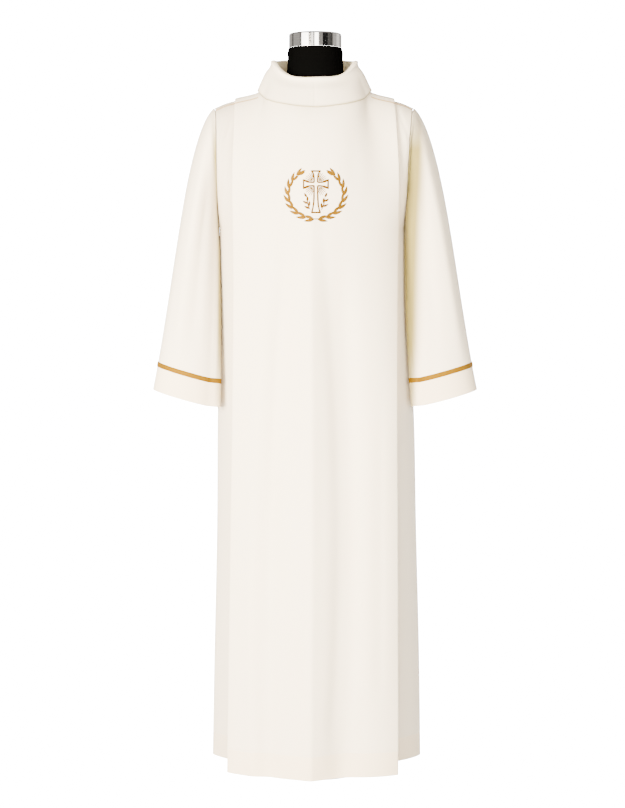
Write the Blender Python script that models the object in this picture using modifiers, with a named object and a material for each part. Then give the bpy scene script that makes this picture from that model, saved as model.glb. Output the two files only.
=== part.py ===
"""An ivory alb hanging on a black limbless dress form.

Metres, +Z up, the front faces -Y and +X is on the right of someone looking at the front.
The origin is the middle of the underside of the form's base plate.

Front and back are one cloth each: a centre panel, a knife pleat on either side of it and a side
strip. Every level of the body is a superellipse, the upper rows run from the underarm level to the
shoulder line and the neckline, and the pleats are laid on that plain surface as a path of
distances across the cloth and distances off it. The cloth walls are open grids with Solidify.
"""
from collections import namedtuple
from math import cos, pi, radians, sin

import bmesh
import bpy
import numpy as np
from mathutils import Vector
from mathutils.bvhtree import BVHTree

# Cloth and seams
CLOTH = 0.0012
COLLAR_CLOTH = 0.0018
BRAID = 0.0008
SEAM_GAP = 0.0003

# Body of the alb
HEM_Z = 0.020
UNDERARM_Z = 1.140
SIDE_SEAM_Y = 0.012
SHOULDER_Y = 0.0
ROUND_X = 0.833
ROUND_Y = 0.90

Level = namedtuple("Level", "z half_width sway front back")
LEVELS = (
    Level(HEM_Z, 0.2215, 0.0030, 0.180, 0.186),
    Level(0.207, 0.2180, 0.0035, 0.174, 0.178),
    Level(0.520, 0.2100, 0.0030, 0.162, 0.162),
    Level(0.766, 0.2055, 0.0010, 0.151, 0.146),
    Level(0.980, 0.1950, -0.0045, 0.141, 0.132),
    Level(UNDERARM_Z, 0.1915, -0.0070, 0.133, 0.122),
)
BODY_Z = (HEM_Z, 0.070, 0.170, 0.300, 0.440, 0.580, 0.710, 0.830, 0.940, 1.050, UNDERARM_Z)
UPPER_STEPS = (0.13, 0.27, 0.42, 0.57, 0.71, 0.83, 0.92, 1.0)

# Shoulder line from the neck point to the tip, and the neckline
Shoulder = namedtuple("Shoulder", "x z")
SHOULDER_LINE = (
    Shoulder(0.094, 1.4235),
    Shoulder(0.1165, 1.4130),
    Shoulder(0.159, 1.4020),
    Shoulder(0.182, 1.3960),
    Shoulder(0.206, 1.3855),
)
NECK_HALF_WIDTH = SHOULDER_LINE[0].x
NECK_SHARE = 0.42
SHOULDER_SWAY = -0.0025
Neckline = namedtuple("Neckline", "depth z rise_y rise_z armhole")
FRONT_NECK = Neckline(0.086, 1.3880, 0.144, 0.067, 0.062)
BACK_NECK = Neckline(0.088, 1.4310, 0.150, 0.040, 0.066)

# Pleats: panel edge from the middle, how much farther it is on the right than on the left (half
# of it), how far it folds under, how far apart the layers lie, and how far the side strip hangs
# back from the panel where it comes out
Pleat = namedtuple("Pleat", "z edge drift fold layer hang")
FRONT_PLEATS = (
    Pleat(HEM_Z, 0.1668, -0.0050, 0.0372, 0.0070, 0.085),
    Pleat(0.520, 0.1627, -0.0023, 0.0318, 0.0062, 0.060),
    Pleat(0.766, 0.1607, -0.0010, 0.0274, 0.0056, 0.040),
    Pleat(1.140, 0.1611, 0.0005, 0.0171, 0.0052, 0.014),
    Pleat(1.300, 0.1667, 0.0005, 0.0192, 0.0044, 0.010),
    Pleat(1.405, 0.1630, -0.0010, 0.0175, 0.0026, 0.000),
)
BACK_PLEATS = (
    Pleat(HEM_Z, 0.1716, -0.0050, 0.042, 0.0070, 0.051),
    Pleat(0.520, 0.1689, -0.0023, 0.038, 0.0062, 0.036),
    Pleat(0.766, 0.1683, -0.0010, 0.035, 0.0056, 0.024),
    Pleat(1.140, 0.1680, 0.0005, 0.024, 0.0052, 0.0036),
    Pleat(1.300, 0.1665, 0.0005, 0.019, 0.0044, 0.000),
    Pleat(1.405, 0.1605, -0.0010, 0.015, 0.0026, 0.000),
)

# Points across half a cloth: neck, panel, under the pleat, each turn of it, side strip
PANEL_TO_NECK = 7
PANEL_TO_EDGE = 4
UNDER_STEPS = 2
TURN_STEPS = 3
STRIP_STEPS = 5
BODY_TURNS = 361

# How the upper body leaves the underarm level and comes in at its top, at the side and in between
SIDE_POWER = 6
SIDE_LEAVE = 0.020
SIDE_ARRIVE = 0.040
SHOULDER_RISE = 0.200
SIDE_RISE_LOSS = 0.75
SHOULDER_SEAM_GAP = 0.00048
SHOULDER_FROM_SHARE = 0.9

# Folds stay on the panel and fade out over these lengths
FOLDS_TO_X = 0.150
FOLDS_FADE_X = 0.020
FOLDS_FADE_LOW = 0.10
FOLDS_FADE_HIGH = 0.25

# Largest soft folds: place across at the hem and at the top, how far it bows to the right in
# between, depth (minus is a trough), spread across, and the levels between which it fades in
Fold = namedtuple("Fold", "hem_x top_x bow depth spread low high")
FRONT_FOLDS = (
    Fold(0.052, 0.038, 0.024, -0.0155, 0.037, 0.00, 1.16),
    Fold(-0.092, -0.046, -0.018, -0.0065, 0.020, 0.00, 1.16),
    Fold(0.078, 0.074, 0.0, -0.0040, 0.014, 1.22, 1.37),
)
BACK_FOLDS = (
    Fold(-0.020, -0.012, 0.0, -0.0110, 0.032, 0.00, 1.14),
    Fold(0.066, 0.048, 0.0, 0.0060, 0.030, 0.00, 0.96),
    Fold(-0.098, -0.080, 0.0, 0.0050, 0.026, 0.00, 0.90),
    Fold(0.128, 0.112, 0.0, -0.0055, 0.020, 0.00, 0.62),
)

# The front panel hangs as two nearly flat halves with a ridge near the middle: how far each half
# lies behind the rounded cloth at its own middle, by height
Flat = namedtuple("Flat", "z depth")
FRONT_FLAT = (
    Flat(HEM_Z, 0.0160),
    Flat(0.350, 0.0140),
    Flat(0.700, 0.0125),
    Flat(1.000, 0.0095),
    Flat(1.180, 0.0050),
    Flat(1.300, 0.0),
)
FLAT_MIDDLE_X = -0.008
FLAT_TO_X = 0.172

# Sleeves: cuff corners, and how each sleeve leaves the armhole
Sleeve = namedtuple("Sleeve", "side outer_x outer_z inner_x inner_z middle_y half_depth push lean")
LEFT_SLEEVE = Sleeve(-1, 0.3360, 0.8060, 0.2055, 0.7685, -0.036, 0.0475, 0.030, 0.009)
RIGHT_SLEEVE = Sleeve(1, 0.3355, 0.8060, 0.2070, 0.7700, -0.036, 0.0475, 0.020, 0.015)
SLEEVE_ROWS = (0.0, 0.03, 0.08, 0.15, 0.24, 0.34, 0.45, 0.56, 0.67, 0.78)
SLEEVE_PUSH = 0.185
ARMHOLE_GAP = 0.0015
SLEEVE_CLEAR = 0.0036
SLEEVE_CLEAR_FROM = 0.15
BRAID_LOW = 0.049
BRAID_HIGH = 0.059
BRAID_GAP = 0.00045
BRAID_SEARCH_ROWS = 401

# How a sleeve leaves the armhole and arrives at the cuff, underside and what the top adds
SLEEVE_LEAVE_Y = -0.030
SLEEVE_LEAVE_Z = -0.105
SLEEVE_LEAVE_Z_TOP = -0.060
SLEEVE_ARRIVE_X_TOP = 0.122
SLEEVE_ARRIVE_Z = -0.360
SLEEVE_ARRIVE_Z_TOP = -0.190

# Collar: rim and lower edge of the band
COLLAR_SWAY = -0.0014
RIM_HALF_WIDTH = 0.0850
RIM_FRONT = 0.0750
RIM_BACK = 0.0850
RIM_Z_FRONT = 1.4390
RIM_Z_SIDE = 1.4790
RIM_Z_BACK = 1.4880
RIM_RADIUS = 0.0040
EDGE_HALF_WIDTH = 0.1165
EDGE_FRONT = 0.1080
EDGE_BACK = 0.1150
EDGE_Z_FRONT = 1.3800
EDGE_Z_SIDE = 1.4180
EDGE_Z_BACK = 1.4200
FALL_BOW = 0.0010
EDGE_CLEAR = 0.0021
CHEST_MIDDLE_Z = 1.300

# Rows of the collar: middle of the stand, three on the rim, two on the fall
STAND_MIDDLE = 0.5
RIM_INSIDE_RISE = 0.75
RIM_OUTSIDE_RISE = 0.60
RIM_OUTSIDE_DROP = 0.002
FALL_HIGH = 0.62
FALL_LOW = 0.30
FALL_LOW_BOW = 0.8

# Dress form
Ring = namedtuple("Ring", "z half_width half_depth y")
FORM_RINGS = (
    Ring(0.640, 0.120, 0.085, 0.002),
    Ring(0.650, 0.150, 0.104, 0.002),
    Ring(0.690, 0.163, 0.112, 0.002),
    Ring(0.780, 0.164, 0.114, 0.002),
    Ring(0.880, 0.142, 0.101, 0.001),
    Ring(0.960, 0.128, 0.094, 0.000),
    Ring(1.050, 0.134, 0.098, 0.000),
    Ring(1.140, 0.148, 0.104, -0.001),
    Ring(1.230, 0.158, 0.105, -0.001),
    Ring(1.300, 0.162, 0.096, 0.000),
    Ring(1.345, 0.161, 0.080, 0.001),
    Ring(1.375, 0.161, 0.064, 0.000),
    Ring(1.393, 0.156, 0.048, 0.000),
    Ring(1.4052, 0.1430, 0.036, 0.000),
    Ring(1.4175, 0.1160, 0.036, 0.000),
    Ring(1.4228, 0.0880, 0.046, 0.003),
    Ring(1.4320, 0.068, 0.054, 0.004),
    Ring(1.4550, 0.0600, 0.0560, 0.005),
    Ring(1.4850, 0.0572, 0.0558, 0.005),
    Ring(1.5050, 0.0563, 0.0556, 0.005),
    Ring(1.5090, 0.0545, 0.0540, 0.005),
)
FORM_SIDES = 28
FORM_SHARP_DEGREES = 60
NECK_Y = 0.005
CAP_RADIUS = 0.0545
CAP_LOW = 1.5093
CAP_HIGH = 1.5380
CAP_ROUND = 0.0040
CAP_DOME = 0.0012
CAP_DOME_SHARE = 0.6
CAP_DOME_LOSS = 0.0004
CAP_SIDES = 32
BASE_RADIUS = 0.116
BASE_RIM = 0.009
BASE_MIDDLE = 0.014
BASE_MIDDLE_RADIUS = 0.045
BASE_ROUND = 0.004
BASE_CHAMFER = 0.001
BASE_SIDES = 40
POLE_RADIUS = 0.0140
POLE_SIDES = 20

Paint = namedtuple("Paint", "name colour roughness metallic")
CLOTH_PAINT = Paint("ivory_twill", (0.90, 0.87, 0.80), 0.85, 0.0)
BRAID_PAINT = Paint("gold_braid", (0.62, 0.38, 0.06), 0.50, 0.0)
FORM_PAINT = Paint("black_fabric_form", (0.006, 0.006, 0.006), 0.80, 0.0)
CAP_PAINT = Paint("chromed_cap", (0.80, 0.80, 0.78), 0.08, 1.0)
STAND_PAINT = Paint("black_enamel_steel", (0.012, 0.012, 0.012), 0.45, 0.0)


def clear_scene():
    """Remove every object of the open scene."""
    for item in list(bpy.data.objects):
        bpy.data.objects.remove(item, do_unlink=True)


def make_paint(paint):
    """A material with one Principled BSDF."""
    material = bpy.data.materials.new(paint.name)
    material.use_nodes = True
    shader = material.node_tree.nodes["Principled BSDF"]
    shader.inputs["Base Color"].default_value = (*paint.colour, 1.0)
    shader.inputs["Roughness"].default_value = paint.roughness
    shader.inputs["Metallic"].default_value = paint.metallic
    return material


def smooth_between(at, places, values):
    """A cubic through the values, with the slope at each from its neighbours."""
    places = np.asarray(places, float)
    values = np.asarray(values, float)
    slopes = np.gradient(values, places)
    at = np.clip(np.asarray(at, float), places[0], places[-1])
    index = np.clip(np.searchsorted(places, at, side="right") - 1, 0, len(places) - 2)
    span = places[index + 1] - places[index]
    t = (at - places[index]) / span
    return blend(t, values[index], slopes[index] * span, values[index + 1], slopes[index + 1] * span)


def blend(t, start, leave, end, arrive):
    """Cubic from start to end that leaves and arrives along the given vectors."""
    return ((2 * t**3 - 3 * t**2 + 1) * start + (t**3 - 2 * t**2 + t) * leave
            + (3 * t**2 - 2 * t**3) * end + (t**3 - t**2) * arrive)


def column(rows, name):
    """One named column of a table."""
    return [getattr(row, name) for row in rows]


def body_levels():
    """Rows of the body: (level below the underarm, step above it) for each."""
    return [(z, 0.0) for z in BODY_Z] + [(UNDERARM_Z, step) for step in UPPER_STEPS]


def level_curve(z, turn, facing):
    """The plain cloth at one level: a superellipse from the middle out to the side seam."""
    width = smooth_between(z, column(LEVELS, "z"), column(LEVELS, "half_width"))
    reach = "front" if facing < 0 else "back"
    depth = smooth_between(z, column(LEVELS, "z"), column(LEVELS, reach))
    sway = smooth_between(z, column(LEVELS, "z"), column(LEVELS, "sway"))
    x = sway + np.sign(turn) * width * np.abs(np.sin(turn)) ** ROUND_X
    y = SIDE_SEAM_Y + (facing * depth - SIDE_SEAM_Y) * np.abs(np.cos(turn)) ** ROUND_Y
    return np.stack([x, y, np.full_like(x, z)], axis=-1)


def top_curve(turn, facing):
    """The upper edge: neckline from the middle to the neck point, then the shoulder line."""
    neck = FRONT_NECK if facing < 0 else BACK_NECK
    share = np.abs(turn) / (pi / 2)
    round_neck = np.clip(share / NECK_SHARE, 0, 1) * pi / 2
    along = np.clip((share - NECK_SHARE) / (1 - NECK_SHARE), 0, 1)
    on_neck = share < NECK_SHARE
    tip_x = SHOULDER_LINE[-1].x
    shoulder_x = NECK_HALF_WIDTH + (tip_x - NECK_HALF_WIDTH) * along
    shoulder_z = smooth_between(shoulder_x, column(SHOULDER_LINE, "x"), column(SHOULDER_LINE, "z"))
    x = np.where(on_neck, NECK_HALF_WIDTH * np.sin(round_neck), shoulder_x)
    y = np.where(on_neck, SHOULDER_Y + facing * neck.depth * np.cos(round_neck), SHOULDER_Y)
    rise = neck.z + (SHOULDER_LINE[0].z - neck.z) * np.sin(round_neck) ** 2
    z = np.where(on_neck, rise, shoulder_z)
    return np.stack([np.sign(turn) * x + SHOULDER_SWAY * along, y, z], axis=-1)


def plain_surface(facing, turn):
    """The plain cloth, without pleats: rows of points over the turns from seam to seam."""
    neck = FRONT_NECK if facing < 0 else BACK_NECK
    underarm = level_curve(UNDERARM_Z, turn, facing)
    top = top_curve(turn, facing)
    side = np.abs(np.sin(turn))
    on_side = side ** SIDE_POWER
    leave = np.zeros_like(top)
    leave[:, 0] = np.sign(turn) * SIDE_LEAVE * on_side
    leave[:, 2] = top[:, 2] - UNDERARM_Z
    arrive = np.zeros_like(top)
    share = np.clip(np.abs(turn) / (pi / 2) / NECK_SHARE, 0, 1)
    arrive[:, 0] = np.sign(turn) * SIDE_ARRIVE * on_side
    rise = neck.rise_y + (SHOULDER_RISE - neck.rise_y) * share
    arrive[:, 1] = -facing * rise * (1 - SIDE_RISE_LOSS * on_side)
    arrive[:, 2] = neck.rise_z * (1 - share)
    rows = []
    for z, step in body_levels():
        if step == 0.0:
            rows.append(level_curve(z, turn, facing))
            continue
        row = blend(step, underarm, leave, top, arrive)
        row[:, 1] += facing * neck.armhole * sin(pi * step) * on_side
        rows.append(row)
    return np.array(rows)


def surface_normals(points, outward):
    """Unit normals of a grid of points, all on the side that outward names at each point."""
    across = np.gradient(points, axis=1)
    up = np.gradient(points, axis=0)
    normals = np.cross(across, up)
    normals /= np.linalg.norm(normals, axis=-1, keepdims=True)
    flip = np.sum(normals * outward, axis=-1, keepdims=True) < 0
    return np.where(flip, -normals, normals)


def fold_depth(points, folds):
    """How far each point of the plain cloth moves out in the largest soft folds."""
    x = points[..., 0]
    z = points[..., 2]
    depth = np.zeros_like(x)
    for fold in folds:
        height = (z - HEM_Z) / (UNDERARM_Z - HEM_Z)
        place = fold.hem_x + (fold.top_x - fold.hem_x) * height
        place += fold.bow * np.sin(pi * np.clip(height, 0, 1))
        fade_high = np.clip((fold.high - z) / FOLDS_FADE_HIGH, 0, 1)
        fade_low = np.clip((z - fold.low) / FOLDS_FADE_LOW + 0.5, 0, 1)
        fade = fade_high * fade_low
        fade = fade * fade * (3 - 2 * fade)
        depth += fold.depth * fade * np.exp(-((x - place) / fold.spread) ** 2)
    return depth


def flat_depth(points):
    """How far the halves of the front panel lie behind the rounded cloth."""
    away = np.clip(np.abs(points[..., 0] - FLAT_MIDDLE_X) / FLAT_TO_X, 0, 1)
    depth = smooth_between(points[..., 2], column(FRONT_FLAT, "z"), column(FRONT_FLAT, "depth"))
    return depth * np.sin(pi * away)


def pleat_path(neck, edge, seam, fold, layer):
    """Distances across the cloth, off it, and share of the strip's hang, middle to side seam.

    The panel lies two layers off the plain cloth, turns back at its edge, runs inwards one layer
    lower and turns again to come out as the side strip on the plain cloth. The strip hangs back
    in full at the inner turn and not at all at the side seam.
    """
    radius = layer / 2
    path = [(neck * i / PANEL_TO_NECK, 2 * layer, 0.0) for i in range(PANEL_TO_NECK)]
    flat_end = edge - radius
    for i in range(PANEL_TO_EDGE):
        path.append((neck + (flat_end - neck) * i / PANEL_TO_EDGE, 2 * layer, 0.0))
    for i in range(TURN_STEPS + 1):
        angle = pi / 2 - pi * i / TURN_STEPS
        path.append((flat_end + radius * cos(angle), 1.5 * layer + radius * sin(angle), 0.0))
    inner_end = edge - fold + radius
    for i in range(1, UNDER_STEPS):
        share = i / UNDER_STEPS
        path.append((flat_end + (inner_end - flat_end) * share, layer, share))
    for i in range(TURN_STEPS + 1):
        angle = pi / 2 + pi * i / TURN_STEPS
        path.append((inner_end + radius * cos(angle), 0.5 * layer + radius * sin(angle), 1.0))
    for i in range(1, STRIP_STEPS + 1):
        share = i / STRIP_STEPS
        path.append((inner_end + (seam - inner_end) * share, 0.0, 1 - share ** 2))
    return np.array(path)


def body_half(facing, folds, pleats):
    """The pleated cloth of the front (facing -1) or the back (+1), as a grid of points."""
    turn = np.linspace(-pi / 2, pi / 2, BODY_TURNS)
    plain = plain_surface(facing, turn)
    outward = plain - np.array([0.0, SIDE_SEAM_Y, 0.0])
    outward[..., 2] = np.maximum(outward[..., 2] - UNDERARM_Z, 0.0)
    normals = surface_normals(plain, outward)
    plain = plain + normals * fold_depth(plain, folds)[..., None] * panel_share(plain)[..., None]
    if facing < 0:
        plain[..., 1] += flat_depth(plain)
    middle = len(turn) // 2
    rows = []
    for row, normal in zip(plain, normals):
        z = row[middle + middle // 2, 2]
        names = ("edge", "drift", "fold", "layer", "hang")
        edge_x, drift, fold, layer, hang = (
            smooth_between(z, column(pleats, "z"), column(pleats, name)) for name in names)
        hang = max(float(hang), 0.0)
        step = np.linalg.norm(np.diff(row, axis=0), axis=1)
        along = np.concatenate([[0.0], np.cumsum(step)])
        along -= along[middle]
        halves = []
        for hand in (-1, 1):
            reach = slice(middle, None) if hand > 0 else slice(middle, None, -1)
            out = np.abs(along[reach])
            x = hand * row[reach, 0]
            neck_along = np.interp(NECK_HALF_WIDTH, x, out)
            edge_along = np.interp(edge_x + hand * drift, x, out)
            path = pleat_path(neck_along, edge_along, out[-1], fold, layer)
            base = np.stack([np.interp(path[:, 0], out, row[reach, i]) for i in range(3)], axis=-1)
            off = np.stack([np.interp(path[:, 0], out, normal[reach, i]) for i in range(3)], axis=-1)
            off /= np.linalg.norm(off, axis=-1, keepdims=True)
            half = base + off * path[:, 1:2]
            half[:, 1] -= facing * hang * path[:, 2]
            halves.append(half)
        rows.append(np.concatenate([halves[0][::-1], halves[1][1:]]))
    grid = np.array(rows)
    grid[:, 0, 1] += facing * SEAM_GAP
    grid[:, -1, 1] += facing * SEAM_GAP
    on_shoulder = np.abs(grid[-1, :, 0]) > NECK_HALF_WIDTH * SHOULDER_FROM_SHARE
    grid[-1, :, 1] += facing * SHOULDER_SEAM_GAP * on_shoulder
    return grid


def panel_share(points):
    """1 on the panel, falling to 0 on the side strips, so pleats and seams stay even."""
    return np.clip((FOLDS_TO_X - np.abs(points[..., 0])) / FOLDS_FADE_X, 0, 1)


def grid_object(name, grid, closed, thickness, paint, collection, flip=False):
    """A cloth wall: quads over the grid's rows and columns, with Solidify about the middle."""
    rows, columns = grid.shape[:2]
    vertices = grid.reshape(-1, 3).tolist()
    faces = []
    last = columns if closed else columns - 1
    for r in range(rows - 1):
        for c in range(last):
            d = (c + 1) % columns
            quad = (r * columns + c, r * columns + d, (r + 1) * columns + d, (r + 1) * columns + c)
            faces.append(quad[::-1] if flip else quad)
    mesh = bpy.data.meshes.new(name)
    mesh.from_pydata(vertices, [], faces)
    mesh.shade_smooth()
    item = bpy.data.objects.new(name, mesh)
    item.data.materials.append(paint)
    collection.objects.link(item)
    wall = item.modifiers.new("wall", "SOLIDIFY")
    wall.thickness = thickness
    wall.offset = 0.0
    wall.use_even_offset = False
    return item


def armhole_loop(front, back, side):
    """Points round one armhole: up the front edge to the shoulder tip, then down the back edge."""
    edge = 0 if side < 0 else -1
    start = len(BODY_Z) - 1
    up = front[start:, edge]
    down = back[start:, edge][::-1]
    loop = np.concatenate([up, down[1:-1]])
    tip = len(up) - 1
    loop[0] = (up[0] + down[-1]) / 2
    loop[tip] = (up[-1] + down[0]) / 2
    return loop, tip


def body_side(y, z, side):
    """How far out the plain body reaches at a depth and height, on one side."""
    width, sway, ahead, behind = (smooth_between(z, column(LEVELS, "z"), column(LEVELS, name))
                                  for name in ("half_width", "sway", "front", "back"))
    reach = np.where(y < SIDE_SEAM_Y, ahead + SIDE_SEAM_Y, behind - SIDE_SEAM_Y)
    share = np.clip(np.abs(y - SIDE_SEAM_Y) / reach, 0, 1) ** (1 / ROUND_Y)
    return width * np.sqrt(1 - share ** 2) ** ROUND_X + side * sway


def clear_of_body(sleeve, ring, up, t):
    """A ring of the sleeve leaned in against the body, and then kept just clear of it."""
    out = sleeve.side * ring[:, 0] - sleeve.lean * np.sin(pi * t) * (1 - up) ** 2
    near = ARMHOLE_GAP + (SLEEVE_CLEAR - ARMHOLE_GAP) * np.minimum(1.0, t / SLEEVE_CLEAR_FROM)
    least = body_side(ring[:, 1], ring[:, 2], sleeve.side) + near
    below = ring[:, 2] < UNDERARM_Z
    ring[:, 0] = sleeve.side * np.where(below, np.maximum(out, least), out)
    return ring


def sleeve_grid(sleeve, front, back, rows):
    """One sleeve: for each point of the armhole, a cubic down to its point on the cuff.

    A row is one share of the way down for the whole ring, or one for each of its points.
    """
    loop, tip = armhole_loop(front, back, sleeve.side)
    count = len(loop)
    step = np.linalg.norm(np.roll(loop, -1, axis=0) - loop, axis=1)
    along = np.concatenate([[0.0], np.cumsum(step)[:-1]])
    round_front = along[:tip + 1] / along[tip] * pi
    round_back = pi + (along[tip:] - along[tip]) / (along[tip:][-1] + step[-1] - along[tip]) * pi
    angle = np.concatenate([round_front, round_back[1:]])[:count]
    up = (1 - np.cos(angle)) / 2
    middle_x = (sleeve.outer_x + sleeve.inner_x) / 2
    half = (sleeve.outer_x - sleeve.inner_x) / 2
    cuff = np.zeros((count, 3))
    cuff[:, 0] = sleeve.side * (middle_x - half * np.cos(angle))
    cuff[:, 1] = sleeve.middle_y - sleeve.half_depth * np.sin(angle)
    cuff[:, 2] = sleeve.inner_z + (sleeve.outer_z - sleeve.inner_z) * up
    leave = np.zeros((count, 3))
    leave[:, 0] = sleeve.side * (sleeve.push + (SLEEVE_PUSH - sleeve.push) * up)
    leave[:, 1] = SLEEVE_LEAVE_Y * np.sin(angle)
    leave[:, 2] = SLEEVE_LEAVE_Z + SLEEVE_LEAVE_Z_TOP * up
    arrive = np.zeros((count, 3))
    arrive[:, 0] = sleeve.side * SLEEVE_ARRIVE_X_TOP * up
    arrive[:, 2] = SLEEVE_ARRIVE_Z + SLEEVE_ARRIVE_Z_TOP * up
    start = loop + ARMHOLE_GAP * np.array([sleeve.side, 0.0, 0.0])
    rings = []
    for row in rows:
        share = np.broadcast_to(row, count)
        ring = blend(share[:, None], start, leave, cuff, arrive)
        rings.append(clear_of_body(sleeve, ring, up, share))
    return np.array(rings)


def braid_rows(sleeve, front, back):
    """The two rows between which the braid lies, both parallel to the cuff's edge."""
    fine = np.linspace(0, 1, BRAID_SEARCH_ROWS)
    grid = sleeve_grid(sleeve, front, back, fine)
    step = np.linalg.norm(np.diff(grid, axis=0), axis=2)
    from_cuff = np.pad(np.cumsum(step[::-1], axis=0)[::-1], ((0, 1), (0, 0)))
    return [np.array([np.interp(-distance, -lengths, fine) for lengths in from_cuff.T])
            for distance in (BRAID_HIGH, BRAID_LOW)]


def closed_normals(grid):
    """Unit normals of a tube of rings, pointing away from each ring's middle."""
    padded = np.concatenate([grid[:, -1:], grid, grid[:, :1]], axis=1)
    outward = padded - grid.mean(axis=1, keepdims=True)
    return surface_normals(padded, outward)[:, 1:-1]


def braid_grid(sleeve, front, back):
    """The braid: the sleeve's own points on two rows, moved out past the cloth."""
    grid = sleeve_grid(sleeve, front, back, braid_rows(sleeve, front, back))
    out = CLOTH / 2 + BRAID_GAP + BRAID / 2
    return grid + closed_normals(grid) * out


def collar_ring(front, back):
    """The neckline's own points, once round from the middle of the front, and their bearings."""
    middle = front.shape[1] // 2
    right_front = front[-1, middle:middle + PANEL_TO_NECK + 1]
    left_front = front[-1, middle - PANEL_TO_NECK:middle]
    right_back = back[-1, middle:middle + PANEL_TO_NECK + 1]
    left_back = back[-1, middle - PANEL_TO_NECK:middle]
    corner_right = (right_front[-1] + right_back[-1]) / 2
    corner_left = (left_front[0] + left_back[0]) / 2
    ring = [*right_front[:-1], corner_right, *right_back[:-1][::-1], *left_back[1:][::-1],
            corner_left, *left_front[1:]]
    ring = np.array(ring)
    bearing = np.arange(len(ring)) * 2 * pi / len(ring)
    return ring, bearing


def around(bearing, half_width, front, back):
    """Plan of an oval with unlike front and back halves."""
    ahead = np.cos(bearing) > 0
    depth = np.where(ahead, front, back)
    return COLLAR_SWAY + half_width * np.sin(bearing), -depth * np.cos(bearing)


def level_round(bearing, front, side, back):
    """Height of a rim that is low in front, higher at the sides and highest at the back."""
    end = np.where(np.cos(bearing) > 0, front, back)
    return end + (side - end) * np.sin(bearing) ** 4


def body_tree(front, back):
    """A tree of the two body cloths' faces, for finding points on them."""
    vertices = []
    faces = []
    for grid in (front, back):
        rows, columns = grid.shape[:2]
        first = len(vertices)
        vertices += [Vector(point) for point in grid.reshape(-1, 3)]
        for r in range(rows - 1):
            for c in range(columns - 1):
                a = first + r * columns + c
                faces.append((a, a + 1, a + columns + 1, a + columns))
    return BVHTree.FromPolygons(vertices, faces)


def on_body(tree, targets, clearance):
    """Each target moved to the nearest point of the cloth, and then off it."""
    chest = Vector((0.0, 0.0, CHEST_MIDDLE_Z))
    found = []
    for target in targets:
        place, normal, _, _ = tree.find_nearest(Vector(target))
        if normal.dot(place - chest) < 0:
            normal = -normal
        found.append(place + normal * clearance)
    return np.array([list(point) for point in found])


def collar_grid(front, back):
    """The folded band: stand up from the neckline, round rim, fall down to the lower edge."""
    ring, bearing = collar_ring(front, back)
    away = np.stack([np.sin(bearing), -np.cos(bearing), np.zeros_like(bearing)], axis=-1)
    up = np.array([0.0, 0.0, 1.0])
    foot = ring + up * (CLOTH / 2 + SEAM_GAP)
    x, y = around(bearing, RIM_HALF_WIDTH, RIM_FRONT, RIM_BACK)
    rim = np.stack([x, y, level_round(bearing, RIM_Z_FRONT, RIM_Z_SIDE, RIM_Z_BACK)], axis=-1)
    x, y = around(bearing, EDGE_HALF_WIDTH, EDGE_FRONT, EDGE_BACK)
    edge = np.stack([x, y, level_round(bearing, EDGE_Z_FRONT, EDGE_Z_SIDE, EDGE_Z_BACK)], axis=-1)
    edge = on_body(body_tree(front, back), edge, CLOTH / 2 + COLLAR_CLOTH / 2 + EDGE_CLEAR)
    inside = rim - away * RIM_RADIUS
    outside = rim + away * RIM_RADIUS
    drop = outside - edge
    bow = away * FALL_BOW
    rows = [foot, foot + (inside - foot) * STAND_MIDDLE, inside,
            inside + up * RIM_RADIUS * RIM_INSIDE_RISE, rim + up * RIM_RADIUS,
            outside + up * RIM_RADIUS * RIM_OUTSIDE_RISE, outside - up * RIM_OUTSIDE_DROP,
            edge + drop * FALL_HIGH + bow, edge + drop * FALL_LOW + bow * FALL_LOW_BOW, edge]
    return np.array(rows)


def turned_object(name, profile, sides, paint, collection, y=0.0):
    """A turned solid: the profile, top to bottom on its outer side, carried round by Screw."""
    mesh = bpy.data.meshes.new(name)
    edges = [(i, i + 1) for i in range(len(profile) - 1)]
    mesh.from_pydata([(radius, 0.0, z) for radius, z in profile], edges, [])
    item = bpy.data.objects.new(name, mesh)
    item.location = (0.0, y, 0.0)
    item.data.materials.append(paint)
    collection.objects.link(item)
    screw = item.modifiers.new("turn", "SCREW")
    screw.steps = sides
    screw.render_steps = sides
    screw.use_merge_vertices = True
    screw.merge_threshold = 0.00005
    return item


def quarter(centre_r, centre_z, radius, first, last, steps=3):
    """Points of an arc in the profile plane, angles in degrees from the outward direction."""
    angles = [radians(first + (last - first) * i / steps) for i in range(steps + 1)]
    return [(centre_r + radius * cos(a), centre_z + radius * sin(a)) for a in angles]


def make_cap(paint, collection):
    """The bright cap: a low drum with a rounded top edge."""
    profile = [(0.0, CAP_HIGH + CAP_DOME),
               (CAP_RADIUS * CAP_DOME_SHARE, CAP_HIGH + CAP_DOME - CAP_DOME_LOSS)]
    profile += quarter(CAP_RADIUS - CAP_ROUND, CAP_HIGH - CAP_ROUND, CAP_ROUND, 90, 0)
    profile += [(CAP_RADIUS, CAP_LOW), (0.0, CAP_LOW)]
    return turned_object("form_neck_cap", profile, CAP_SIDES, paint, collection, NECK_Y)


def make_base(paint, collection):
    """The round plate that the form stands on, a little higher in the middle."""
    profile = [(0.0, BASE_MIDDLE), (BASE_MIDDLE_RADIUS, BASE_MIDDLE)]
    profile += quarter(BASE_RADIUS - BASE_ROUND, BASE_RIM - BASE_ROUND, BASE_ROUND, 90, 0)
    profile += [(BASE_RADIUS, BASE_CHAMFER), (BASE_RADIUS - BASE_CHAMFER, 0.0), (0.0, 0.0)]
    return turned_object("form_base", profile, BASE_SIDES, paint, collection)


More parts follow.
